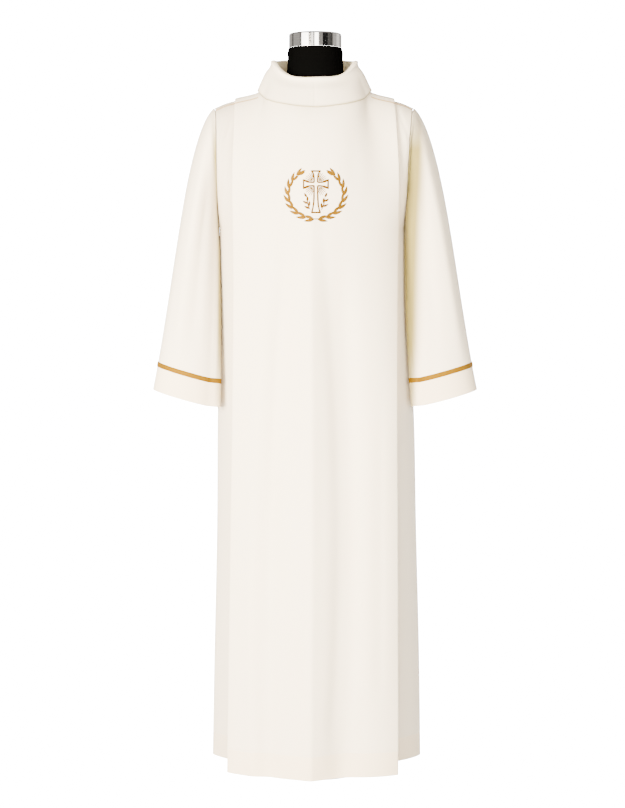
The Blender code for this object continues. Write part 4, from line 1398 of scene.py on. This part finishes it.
@dataclass
class Embroidery:
    """A generic church motif: a splayed cross with rays, in a wreath of two leafy branches."""

    emblem: Emblem
    stem_start: float = -0.16
    stem_end: float = 2.5
    stem_widths: tuple[float, float] = (0.00095, 0.00045)
    leaf_length: float = 0.0215
    leaf_width: float = 0.0031
    leaf_spread: float = 0.4
    leaf_pairs: int = 9
    tip_leaf: float = 0.015
    small_leaf: float = 0.0022
    cross_top: float = 0.0455
    cross_foot: float = -0.037
    arm_height: float = 0.0195
    arm_reach: float = 0.0245
    arm_inner: float = 0.0036
    arm_flare: float = 0.005
    cord: float = 0.0016
    cord_height: float = 0.0008
    ray_cord: float = 0.001
    # degrees from the arm, distance from the middle, and lengths above and below the arms
    ray_rows: Rows = ((22, 0.015, 0.0085, 0.009), (31, 0.012, 0.0125, 0.012),
                      (40, 0.0095, 0.0155, 0.016), (49, 0.0095, 0.0145, 0.015),
                      (58, 0.0115, 0.014, 0.0145), (67, 0.014, 0.01, 0.0105))
    sprig_foot: tuple[float, float] = (0.0105, -0.033)
    sprig_lean: float = 0.5
    sprig_length: float = 0.03
    # share up the sprig, turn off its lean, and length
    sprig_leaves: Rows = ((0.16, 0.75, 0.0125), (0.32, -0.75, 0.0125), (0.52, 0.7, 0.0115),
                          (0.68, -0.65, 0.0105), (0.95, 0.05, 0.01))

    def at(self, x: float, z: float) -> tuple[float, float]:
        """A place measured from the emblem's middle."""
        return (self.emblem.x + x, self.emblem.z + z)

    def branch(self, side: Side, s: Array) -> Array:
        """A branch of the wreath: an ellipse run from the foot (0) towards the top (pi)."""
        x = self.emblem.x + side.value * self.emblem.half_width * np.sin(s)
        z = self.emblem.z - self.emblem.half_height * np.cos(s)
        return np.stack([x, z], axis=-1)

    def stems(self) -> list[SatinPatch]:
        """The two stems, from a little past the foot, where they cross, to their thin tips."""
        s = np.linspace(self.stem_start, self.stem_end, STEM_POINTS)
        width = np.linspace(*self.stem_widths, STEM_POINTS)
        return [SatinPatch(self.branch(side, s), width, height=0.0005) for side in Side]

    def leaves(self) -> list[SatinPatch]:
        """Leaves in pairs on the outer and inner side of each stem, and one at its tip."""
        found = []
        for side in Side:
            for s in np.linspace(0.06, self.stem_end - 0.12, self.leaf_pairs):
                for share, outer in ((0.0, True), (0.035, False)):
                    foot = self.branch(side, np.array(s + share))
                    ahead = self.branch(side, np.array(s + share + 0.01)) - foot
                    heading = np.arctan2(ahead[1], ahead[0])
                    turn = side.value * (-1.0 if outer else 1.0) * self.leaf_spread
                    size = (1.0 if outer else 0.9) * (1 - 0.12 * s / pi)
                    found.append(leaf(foot, heading + turn, self.leaf_length * size,
                                      self.leaf_width * size, -turn * 0.75))
            tip = self.branch(side, np.array(self.stem_end))
            ahead = tip - self.branch(side, np.array(self.stem_end - 0.02))
            heading = np.arctan2(ahead[1], ahead[0])
            found.append(leaf(tip, heading, self.tip_leaf, self.small_leaf, 0.2 * side.value))
        return found

    def on_arm(self, heading: float, along: Array | float, away: Array) -> Array:
        """Places along an arm of the cross that heads at an angle, and off to its left."""
        x, z = self.at(0.0, self.arm_height)
        return np.stack([x + along * np.cos(heading) - away * np.sin(heading),
                         z + along * np.sin(heading) + away * np.cos(heading)], axis=-1)

    def edge(self, heading: float, length: float, side: float) -> SatinPatch:
        """A cord along one edge of an arm, splayed by a fourth power at its end."""
        t = np.linspace(0, 1, CORD_POINTS)
        along = self.arm_inner * 0.9 + (length - self.arm_inner * 0.9) * t
        away = side * (self.arm_inner + self.arm_flare * t**4)
        path = self.on_arm(heading, along, away)
        return SatinPatch(path, np.full(CORD_POINTS, self.cord), self.cord_height)

    def cross(self) -> list[SatinPatch]:
        """The cross, drawn in outline by cords: two edges and an end bar for each arm."""
        found = []
        for heading, length in ((pi / 2, self.cross_top - self.arm_height), (0.0, self.arm_reach),
                                (pi, self.arm_reach), (-pi / 2, self.arm_height - self.cross_foot)):
            found += [self.edge(heading, length, side) for side in (-1.0, 1.0)]
            reach = self.arm_inner + self.arm_flare + self.cord * 0.8
            bar = self.on_arm(heading, length, np.linspace(-reach, reach, BAR_POINTS))
            found.append(SatinPatch(bar, np.full(BAR_POINTS, self.cord), self.cord_height))
        return found

    def rays(self) -> list[SatinPatch]:
        """Thin rays of unlike lengths between the arms."""
        middle = np.array(self.at(0.0, self.arm_height))
        width = np.linspace(self.ray_cord, self.ray_cord * 0.5, BAR_POINTS)
        t = np.linspace(0, 1, BAR_POINTS)[:, None]
        found = []
        for side in Side:
            for sign, index in ((1, 2), (-1, 3)):
                for row in self.ray_rows:
                    angle = radians(sign * row[0])
                    heading = np.array([side.value * np.cos(angle), np.sin(angle)])
                    start = middle + heading * row[1]
                    end = middle + heading * (row[1] + row[index])
                    found.append(SatinPatch(start * (1 - t) + end * t, width, height=0.0004))
        return found

    def sprigs(self) -> list[SatinPatch]:
        """A small leafy sprig on each side of the foot of the cross."""
        found = []
        for side in Side:
            foot = np.array(self.at(side.value * self.sprig_foot[0], self.sprig_foot[1]))
            lean = pi / 2 - side.value * self.sprig_lean
            stem = leaf(foot, lean, self.sprig_length, self.ray_cord, side.value * 0.5)
            found.append(stem)
            for share, turn, length in self.sprig_leaves:
                start = stem.path[int(share * LEAF_STEPS)]
                found.append(leaf(start, lean + turn, length, self.small_leaf, -turn * 0.4))
        return found

    def add(self, name: str, patches: list[SatinPatch], panel: PanelMap, material: Material) -> Item:
        """One mesh of several patches, each closed by itself."""
        points = []
        maps = []
        faces = []
        first = 0
        for patch in patches:
            loop, uv = patch.loop(panel)
            quads, _ = loop_faces(loop.shape[0], loop.shape[1], closed=False)
            if volume_of(loop.reshape(-1, 3), quads) < 0:
                quads = quads[:, ::-1]
            points.append(loop.reshape(-1, 3))
            maps.append(uv.reshape(-1, 2))
            faces.append(quads + first)
            first += len(points[-1])
        return add_mesh(name, np.concatenate(points), np.concatenate(faces), np.concatenate(maps),
                        material)


@dataclass
class StitchRow:
    """A row of short stitches along a line on the cloth, each a small rounded roll of thread."""

    first: float = 0.0015
    length: float = 0.003
    spacing: float = 0.0038
    radius: float = 0.00028
    sink: float = 0.00004
    # share of the way along a stitch and share of its full girth
    stations: Rows = ((0.0, 0.35), (0.12, 0.85), (0.5, 1.0), (0.88, 0.85), (1.0, 0.35))

    def add(self, name: str, line_points: Array, line_normals: Array, material: Material) -> Item:
        """Lays the stitches on a line of the cloth's outer face.

        Args:
            name: The piece's name.
            line_points, line_normals: The line on the outer face, and the cloth's normals.
            material: The thread.

        Returns:
            One mesh of all the stitches.
        """
        run = lengths_along(line_points, 0)
        starts = np.arange(self.first, run[-1] - self.length, self.spacing)
        share, girth = np.array(self.stations).T
        at = starts[:, None] + share * self.length
        place = read_line(at, run, line_points)
        normal = unit(read_line(at, run, line_normals))
        along = unit(np.gradient(place, axis=1))
        side = unit(np.cross(along, normal))
        size = self.radius * girth[None, :, None, None]
        middle = place + normal * (self.radius * 0.2 + self.sink)
        turn = np.arange(6) * pi / 3
        ring = (side[:, :, None] * np.cos(turn)[:, None] + normal[:, :, None] * np.sin(turn)[:, None])
        points = middle[:, :, None] + ring * size
        ends = np.array([[3, 2, 1, 0], [5, 4, 3, 0], [24, 25, 26, 27], [24, 27, 28, 29]])
        one = np.concatenate([grid_quads(5, 6, False, True), ends])
        faces = (np.arange(len(starts))[:, None, None] * 30 + one[None]).reshape(-1, 4)
        uv = np.stack([np.broadcast_to(at[:, :, None], points.shape[:3]),
                       np.broadcast_to(turn * self.radius, points.shape[:3])], axis=-1)
        return add_mesh(name, points.reshape(-1, 3), faces, uv.reshape(-1, 2), material)


def add_turned(name: str, rings: Array, sides: int, material: Material) -> Item:
    """A closed solid of oval rings, from the top down or the bottom up.

    Args:
        name: The piece's name.
        rings: For each ring its height, half width, half depth and the y of its middle.
        sides: Points round each ring.
        material: Its finish.

    Returns:
        The new object. Each end is closed by rings that shrink to a small flat face.
    """
    turn = np.arange(sides) * 2 * pi / sides
    z, wide, deep, y = (rings[:, i, None] for i in range(4))
    points = np.stack([wide * np.sin(turn), y - deep * np.cos(turn), z + 0 * turn], axis=-1)
    profile = np.concatenate([[0.0], np.cumsum(np.hypot(np.diff(rings[:, 0]), np.diff(rings[:, 1])))])
    uv = np.stack(np.broadcast_arrays(turn * rings[:, 1].max(), profile[:, None]), axis=-1)
    quads = grid_quads(len(rings), sides, False, True)
    last = (len(rings) - 1) * sides
    k = np.arange(1, sides // 2)
    low = np.stack([k - 1, k, sides - 1 - k, (sides - k) % sides], axis=-1)
    high = low[:, ::-1] + last
    faces = np.concatenate([quads, low[:, ::-1], high[:, ::-1]])
    crossing = (np.arange(len(faces)) % sides == sides - 1) & (np.arange(len(faces)) < len(quads))
    return add_mesh(name, points.reshape(-1, 3), faces, uv.reshape(-1, 2), material,
                    crossing=crossing, turn=2 * pi * float(rings[:, 1].max()))


@dataclass
class DressForm:
    """Black limbless form, its chromed neck cap, and the pole and plate it stands on."""

    # height, half width, half depth, y of the middle
    rings: Rows = (
        (0.64, 0.12, 0.085, 0.002), (0.65, 0.15, 0.104, 0.002), (0.69, 0.163, 0.112, 0.002),
        (0.78, 0.164, 0.114, 0.002), (0.88, 0.142, 0.101, 0.001), (0.96, 0.128, 0.094, 0.0),
        (1.05, 0.134, 0.098, 0.0), (1.14, 0.148, 0.104, -0.001), (1.23, 0.158, 0.105, -0.001),
        (1.3, 0.162, 0.096, 0.0), (1.345, 0.161, 0.08, 0.001), (1.375, 0.161, 0.064, 0.0),
        (1.393, 0.156, 0.048, 0.0), (1.4052, 0.143, 0.036, 0.0), (1.4175, 0.116, 0.036, 0.0),
        (1.4228, 0.088, 0.046, 0.003), (1.432, 0.068, 0.054, 0.004), (1.455, 0.06, 0.056, 0.005),
        (1.485, 0.0572, 0.0558, 0.005), (1.505, 0.0563, 0.0556, 0.005), (1.509, 0.0545, 0.054, 0.005))
    neck_from: float = 1.4228
    shrink: float = 0.992
    neck_y: float = 0.005
    cap_radius: float = 0.0545
    cap_low: float = 1.5093
    cap_high: float = 1.5392
    cap_round: float = 0.004
    cap_dome: float = 0.0012
    plate_radius: float = 0.116
    plate_rim: float = 0.009
    plate_middle: float = 0.014
    plate_middle_radius: float = 0.045
    plate_round: float = 0.004
    pole_radius: float = 0.014
    neck_round: float = 0.0022
    edge_break: float = 0.001
    axis_radius: float = 0.001
    joint_gap: float = 0.0003
    # points round the form and its cap, round the pole and round the plate
    sides: tuple[int, int, int] = (128, 48, 96)

    def torso_rings(self) -> Array:
        """Rings of the form: straight between the solid's rings on the body, smooth on the neck."""
        table = np.array(self.rings)
        body = table[table[:, 0] <= self.neck_from]
        fine = np.linspace(0, 1, 5)[1:]
        between = [body[:-1] + (body[1:] - body[:-1]) * t for t in fine]
        body = np.concatenate([body[:1], np.stack(between, axis=1).reshape(-1, 4)])
        z = np.linspace(self.neck_from, self.rings[-2][0], 40)[1:]
        neck = smooth_between(z, table[:, 0], table)
        rings = np.concatenate([body, neck])
        scale = 1 - (1 - self.shrink) * (1 - ease((rings[:, 0] - self.neck_from) / 0.02))
        rings[:, 1:3] *= scale[:, None]
        turn = np.linspace(0, pi / 2, 7)[1:]
        top = np.repeat(rings[-1:], 6, axis=0)
        high = self.rings[-1][0] - self.rings[-2][0]
        top[:, 0] += high * np.sin(turn)
        top[:, 1:3] -= (self.neck_round * (1 - np.cos(turn)))[:, None]
        close = np.repeat(top[-1:], 3, axis=0)
        close[:, 1:3] *= np.array([0.9, 0.5, 0.02])[:, None]
        start = np.repeat(rings[:1], 3, axis=0)
        start[:, 1:3] *= np.array([0.02, 0.5, 0.9])[:, None]
        return np.concatenate([start, rings, top, close])

    def ringed(self, profile: list[tuple[float, float]], y: float) -> Array:
        """Rings of a round solid from its (radius, height) profile."""
        table = np.array(profile)
        return np.stack([table[:, 1], table[:, 0], table[:, 0], np.full(len(table), y)], axis=-1)

    def rounded(self, radius: float, high: float, size: float) -> list[tuple[float, float]]:
        """Profile points of a rounded outer top edge, from the top to the side."""
        turn = np.linspace(pi / 2, 0, 10)
        return list(zip(radius - size + size * np.cos(turn), high - size + size * np.sin(turn)))

    def cap(self) -> list[tuple[float, float]]:
        """Profile of the cap: its low dome, rounded edge and side, and its flat underside."""
        out, low, high = self.cap_radius, self.cap_low, self.cap_high
        dome = [(out * 0.92 * s, high + self.cap_dome * (1 - s**2)) for s in np.linspace(0.02, 1.0, 14)]
        side = [(out, z) for z in np.linspace(high - 0.005, low + 0.0003, 9)]
        under = [(out, low + 0.00015), (out - 0.00015, low), (out - self.edge_break, low),
                 (out * 0.6, low), (self.axis_radius, low)]
        return dome + self.rounded(out, high, self.cap_round) + side + under

    def pole(self) -> list[tuple[float, float]]:
        """Profile of the pole, from just above the plate to just under the torso."""
        out, small, axis = self.pole_radius, self.edge_break, self.axis_radius
        low = self.plate_middle + self.joint_gap
        high = self.rings[0][0] - self.joint_gap
        return [(axis, low), (out - small, low), (out, low + small), (out, (low + high) / 2),
                (out, high - small), (out - small, high), (axis, high)]

    def plate(self) -> list[tuple[float, float]]:
        """Profile of the plate: a raised middle, a rounded rim and a flat underside."""
        out, small, axis = self.plate_radius, self.edge_break, self.axis_radius
        top = [(axis, self.plate_middle), (self.plate_middle_radius - 0.002, self.plate_middle),
               (self.plate_middle_radius, self.plate_middle - 0.0006)]
        return (top + self.rounded(out, self.plate_rim, self.plate_round)
                + [(out, small), (out - small, 0.0), (axis, 0.0)])

    def build(self, jersey: Material, chrome: Material, enamel: Material) -> None:
        """Torso, cap, pole and plate, each riding the root and standing for its solid."""
        cap = self.ringed(self.cap(), self.neck_y)
        pole = self.ringed(self.pole(), 0.0)
        plate = self.ringed(self.plate(), 0.0)
        body, thin, broad = self.sides
        for name, rings, sides, finish, slot, node in (
                ("form_cover", self.torso_rings(), body, jersey, "form", "form_torso"),
                ("form_cap", cap, body, chrome, "cap", "form_neck_cap"),
                ("form_pole_round", pole, thin, enamel, "stand", "form_pole"),
                ("form_plate", plate, broad, enamel, "stand", "form_base")):
            finish_piece(add_turned(name, rings, sides, finish), slot, node)


def finish_piece(item: Item, slot: str, node: str = "") -> None:
    """Ties a piece to the frame: it rides the root and stands for its solid."""
    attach(item, ROOT)
    if node:
        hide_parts(node)


@dataclass
class Studio:
    """White studio: a glowing floor, a key lamp at the left, a broad front lamp and a room.

    The cloth is lit evenly, and only the chrome sees the bright and dark walls of the room.
    """

    camera: Place = (-0.0057, -3.8, 1.094)
    tilt: float = 4.84
    lens: float = 81.0
    sensor: float = 36.0
    fill: float = 0.5
    white: float = 26.0
    floor_glow: float = 22.0
    floor_reach: float = 30.0
    floor_z: float = -0.0002
    # place, target, size and power of each lamp
    key: tuple[Place, Place, float, float] = ((-1.52, -2.6, 1.1), (0.0, 0.0, 1.0), 1.3, 650.0)
    front: tuple[Place, Place, float, float] = ((0.6, -4.3, 1.6), (0.0, 0.0, 0.95), 3.0, 560.0)
    warm_light: str = "#FFF2DD"
    # from this azimuth on, in degrees from the camera towards +X, the walls are this bright
    room: Rows = (
        (-180, 0.7), (-126, 0.26), (-110, 0.62), (-73, 0.31), (-62, 14.0), (-30, 0.42), (-26, 1.15),
        (-17, 5.0), (-9, 0.02), (-4, 14.0), (14, 0.52), (32, 0.015), (55, 0.14), (71, 0.05),
        (77, 0.25), (83, 0.75), (106, 1.6), (128, 0.7))
    ceiling: float = 0.4
    ceiling_from: float = 0.4

    def add_camera(self) -> None:
        """The camera of the photograph: level height of the chest, tilted a little down."""
        camera = bpy.data.objects.new("camera", bpy.data.cameras.new("camera"))
        camera.data.lens = self.lens
        camera.data.sensor_width = self.sensor
        camera.location = self.camera
        camera.rotation_euler = (radians(90.0 - self.tilt), 0.0, 0.0)
        bpy.context.scene.collection.objects.link(camera)
        bpy.context.scene.camera = camera

    def add_lamp(self, name: str, place: Place, target: Place, size: float, power: float) -> Item:
        """A square area lamp turned towards a point."""
        data = bpy.data.lights.new(name, "AREA")
        data.size = size
        data.energy = power
        data.color = linear(self.warm_light)[:3]
        item = bpy.data.objects.new(name, data)
        item.location = place
        aim = Vector(target) - Vector(place)
        item.rotation_euler = aim.to_track_quat("-Z", "Y").to_euler()
        bpy.context.scene.collection.objects.link(item)
        return item

    def add_floor(self) -> Item:
        """A floor of white paper that lights nothing but what reflects it."""
        mesh = bpy.data.meshes.new("floor")
        far = self.floor_reach
        corners = [(x, y, self.floor_z) for x, y in ((-far, -far), (far, -far), (far, far), (-far, far))]
        mesh.from_pydata(corners, [], [(0, 1, 2, 3)])
        mesh.materials.append(FloorPaper("white_floor_paper", self.floor_glow).build())
        item = bpy.data.objects.new("floor", mesh)
        item.visible_diffuse = False
        bpy.context.scene.collection.objects.link(item)
        return item

    def add_room(self) -> None:
        """The world: even white light on the cloth, and bright and dark walls in the chrome."""
        world = bpy.data.worlds.new("studio")
        world.use_nodes = True
        world.node_tree.nodes.clear()
        add = partial(add_node, world.node_tree)
        way = add("SeparateXYZ", {0: add("TexCoord").outputs["Generated"]}).outputs
        back = add("Math", {0: way["Y"], 1: -1.0}, operation="MULTIPLY")
        azimuth = add("Math", {0: way["X"], 1: back}, operation="ARCTAN2")
        ramp = add("ValToRGB", {0: add("MapRange", {"Value": azimuth, 1: -pi, 2: pi})})
        ramp.color_ramp.interpolation = "CONSTANT"
        stops = ramp.color_ramp.elements
        stops.remove(stops[-1])
        stops[0].position = 0.0
        stops[0].color = self.grey(self.room[0][1])
        for turn, bright in self.room[1:]:
            stops.new((turn + 180) / 360).color = self.grey(bright)
        high = add("Math", {0: way["Z"], 1: self.ceiling_from}, operation="GREATER_THAN")
        seen = add("Mix", {"Factor": high, "A": ramp, "B": self.grey(self.ceiling)}, data_type="RGBA")
        even, walls, white = (add("Background", {"Color": colour, "Strength": strength})
                              for colour, strength in ((linear(self.warm_light), self.fill),
                                                       (seen.outputs["Result"], self.white),
                                                       (linear("#FFFFFF"), self.white)))
        rays = add("LightPath").outputs
        lit = add("MixShader", {0: rays["Is Glossy Ray"], 1: even, 2: walls})
        final = add("MixShader", {0: rays["Is Camera Ray"], 1: lit, 2: white})
        add("OutputWorld", {"Surface": final})
        bpy.context.scene.world = world

    def grey(self, bright: float) -> tuple[float, float, float, float]:
        """A slightly warm grey of a brightness, as a share of white."""
        share = bright / self.white
        return (share, share * 0.95, share * 0.9, 1.0)

    def build(self) -> None:
        """Camera, floor, lamps and room."""
        self.add_camera()
        self.add_room()
        floor = self.add_floor()
        key = self.add_lamp("key_lamp", *self.key)
        front = self.add_lamp("front_lamp", *self.front)
        front.visible_glossy = False


@dataclass
class Alb:
    """The garment on the form: cloth pieces, braids, embroidery and stitches."""

    body: AlbBody
    sleeves: tuple[Sleeve, Sleeve]
    braid: CuffBraid
    collar: Collar

    def body_tree(self, grids: tuple[Array, Array]) -> BVHTree:
        """A search tree of the faces of the front and back cloth."""
        vertices = []
        faces = []
        for grid in grids:
            quads = grid_quads(*grid.shape[:2], False, False)
            faces.append(quads + sum(len(v) for v in vertices))
            vertices.append(grid.reshape(-1, 3))
        return BVHTree.FromPolygons(np.concatenate(vertices).tolist(), np.concatenate(faces).tolist())

    def cut(self, grid: Array, closed: bool) -> tuple[float, float]:
        """Flat width and length of a cloth grid: the middles of its row and column lengths."""
        across = lengths_along(grid, 1)[:, -1]
        if closed:
            across = across + np.linalg.norm(grid[:, -1] - grid[:, 0], axis=-1)
        along = lengths_along(grid, 0)[-1]
        return float(np.mean(across)), float(np.mean(along))

    def build(self, twill: Material, gilt: Material, light: Material,
              dark: Material, thread: Material) -> None:
        """All the garment's pieces.

        Args:
            twill: The alb's cloth.
            gilt: The cuff braid.
            light, dark: The two embroidery threads.
            thread: The sewing thread of the hem.
        """
        body = self.body
        grids = {}
        for half, name in ((Half.FRONT, "alb_front"), (Half.BACK, "alb_back")):
            grid, normals = body.pleated(half)
            grids[half] = (grid, normals)
            wall = Wall(grid, normals, body.thickness)
            # the marks carry painted shade on the strips and a painted shadow line along the shoulder seam
            item = add_cloth(name + "_cloth", wall, False, twill, body.marks(grid, half))
            finish_piece(item, "cloth", name)
            row = int(np.argmin(np.abs(grid[:, grid.shape[1] // 2, 2] - body.hem_z - body.hem_depth)))
            face = grid[row] + normals[row] * body.thickness / 2
            stitches = StitchRow().add(name + "_hem_stitches", face, normals[row], thread)
            finish_piece(stitches, "cloth")
            self.cut(grid, False)
        front, front_normals = grids[Half.FRONT]
        back = grids[Half.BACK][0]
        reach = body.neck_columns + body.panel_columns - 1
        middle = front.shape[1] // 2
        panel = slice(middle - reach, middle + reach + 1)
        lattice = PanelMap.of(front[:, panel], front_normals[:, panel], body.thickness / 2)
        motif = Embroidery(body.emblem)
        for name, patches, material in (("emblem_wreath_leaves", motif.leaves(), light),
                                        ("emblem_wreath_stems", motif.stems(), dark),
                                        ("emblem_cross", motif.cross(), dark),
                                        ("emblem_rays", motif.rays(), light),
                                        ("emblem_sprigs", motif.sprigs(), dark)):
            finish_piece(motif.add(name, patches, lattice, material), "braid")
        start = len(body.levels_and_steps()[0]) - body.upper_rows - 1
        for sleeve in self.sleeves:
            side = sleeve.side.name.lower()
            loop, tip = sleeve.armhole(front, back, start)
            angle = sleeve.angles(loop, tip)
            t, band = sleeve.shares(body, loop, angle)
            grid, normals = sleeve.surface(body, loop, angle, t)
            wall = Wall(grid, normals, sleeve.thickness)
            # deep: painted shade in the valley along the body
            marks = {"doubled": ease((t - band[0]) / sleeve.hem_blend), "deep": sleeve.deep(grid)}
            item = add_cloth(f"sleeve_{side}_cloth", wall, True, twill, marks)
            finish_piece(item, "cloth", f"sleeve_{side}")
            self.cut(grid, True)
            braid = add_cloth(f"cuff_braid_{side}_band", self.braid.wall(sleeve, body, loop, angle, band),
                              True, gilt)
            finish_piece(braid, "braid", f"cuff_braid_{side}")
            wide, _ = self.cut(grid[-2:], True)
        surface, normals = self.collar.surface(body, front, back, self.body_tree((front, back)))
        wall = Wall(surface, normals, self.collar.thickness)
        # deep: painted shade on the collar's stand and at its lower edge
        item = add_cloth("collar_cloth", wall, True, twill, {"deep": self.collar.deep(surface)})
        finish_piece(item, "cloth", "collar")
        self.cut(surface, True)


def make_alb() -> Alb:
    """The alb of the photograph, with its own sleeves and folds."""
    left = Sleeve(Side.LEFT, (0.336, 0.806), (0.2055, 0.7685), push=0.03, lean=0.009, seed=31,
                  valley=((0.78, 0.199, 0.005, 0.4, 0.0), (0.9, 0.1985, 0.005, 0.9, 0.002),
                          (1.14, 0.1985, 0.006, 1.0, 0.003), (1.3, 0.204, 0.006, 0.9, 0.003),
                          (1.36, 0.208, 0.005, 0.3, 0.0), (1.39, 0.208, 0.005, 0.0, 0.0)),
                  folds=((0.45 * pi, 0.1, -0.004, 0.24, 0.12, 0.86),
                         (0.66 * pi, -0.1, 0.003, 0.22, 0.1, 0.95),
                         (1.45 * pi, 0.15, -0.004, 0.26, 0.15, 0.9)))
    right = Sleeve(Side.RIGHT, (0.3355, 0.806), (0.207, 0.77), push=0.02, lean=0.015, seed=37,
                   valley=((0.78, 0.2, 0.006, 0.7, 0.0), (0.9, 0.199, 0.013, 1.0, 0.006),
                           (1.14, 0.203, 0.015, 1.0, 0.01), (1.3, 0.21, 0.013, 1.0, 0.009),
                           (1.35, 0.211, 0.007, 0.5, 0.003), (1.385, 0.212, 0.005, 0.0, 0.0)),
                   folds=((0.29 * pi, -0.04, 0.0058, 0.3, 0.02, 0.96),
                          (0.5 * pi, -0.1, -0.0034, 0.2, 0.14, 0.8),
                          (0.7 * pi, 0.08, 0.0028, 0.24, 0.08, 0.95),
                          (1.55 * pi, -0.12, -0.004, 0.24, 0.12, 0.88)))
    return Alb(AlbBody(), (left, right), CuffBraid(), Collar())


def main() -> None:
    """Builds the form, the alb and the studio, and reports each piece."""
    logging.basicConfig(level=logging.INFO, format="%(name)s: %(message)s")
    jersey = BlackJersey().build()
    chrome = PolishedMetal("polished_chrome", "#DDDBD6", "#BDBBB6", 0.07, 1.0).build()
    enamel = PolishedMetal("black_enamelled_steel", "#0D0D0D", "#191918", 0.4, 0.0).build()
    DressForm().build(jersey, chrome, enamel)
    light = GoldThread("gold_rayon_satin_thread").build()
    dark = GoldThread("old_gold_rayon_thread", "#503404", "#3C2402").build()
    make_alb().build(IvoryTwill().build(), GoldBraid().build(), light, dark, SewingThread().build())
    Studio().build()


if __name__ == "__main__":
    main()
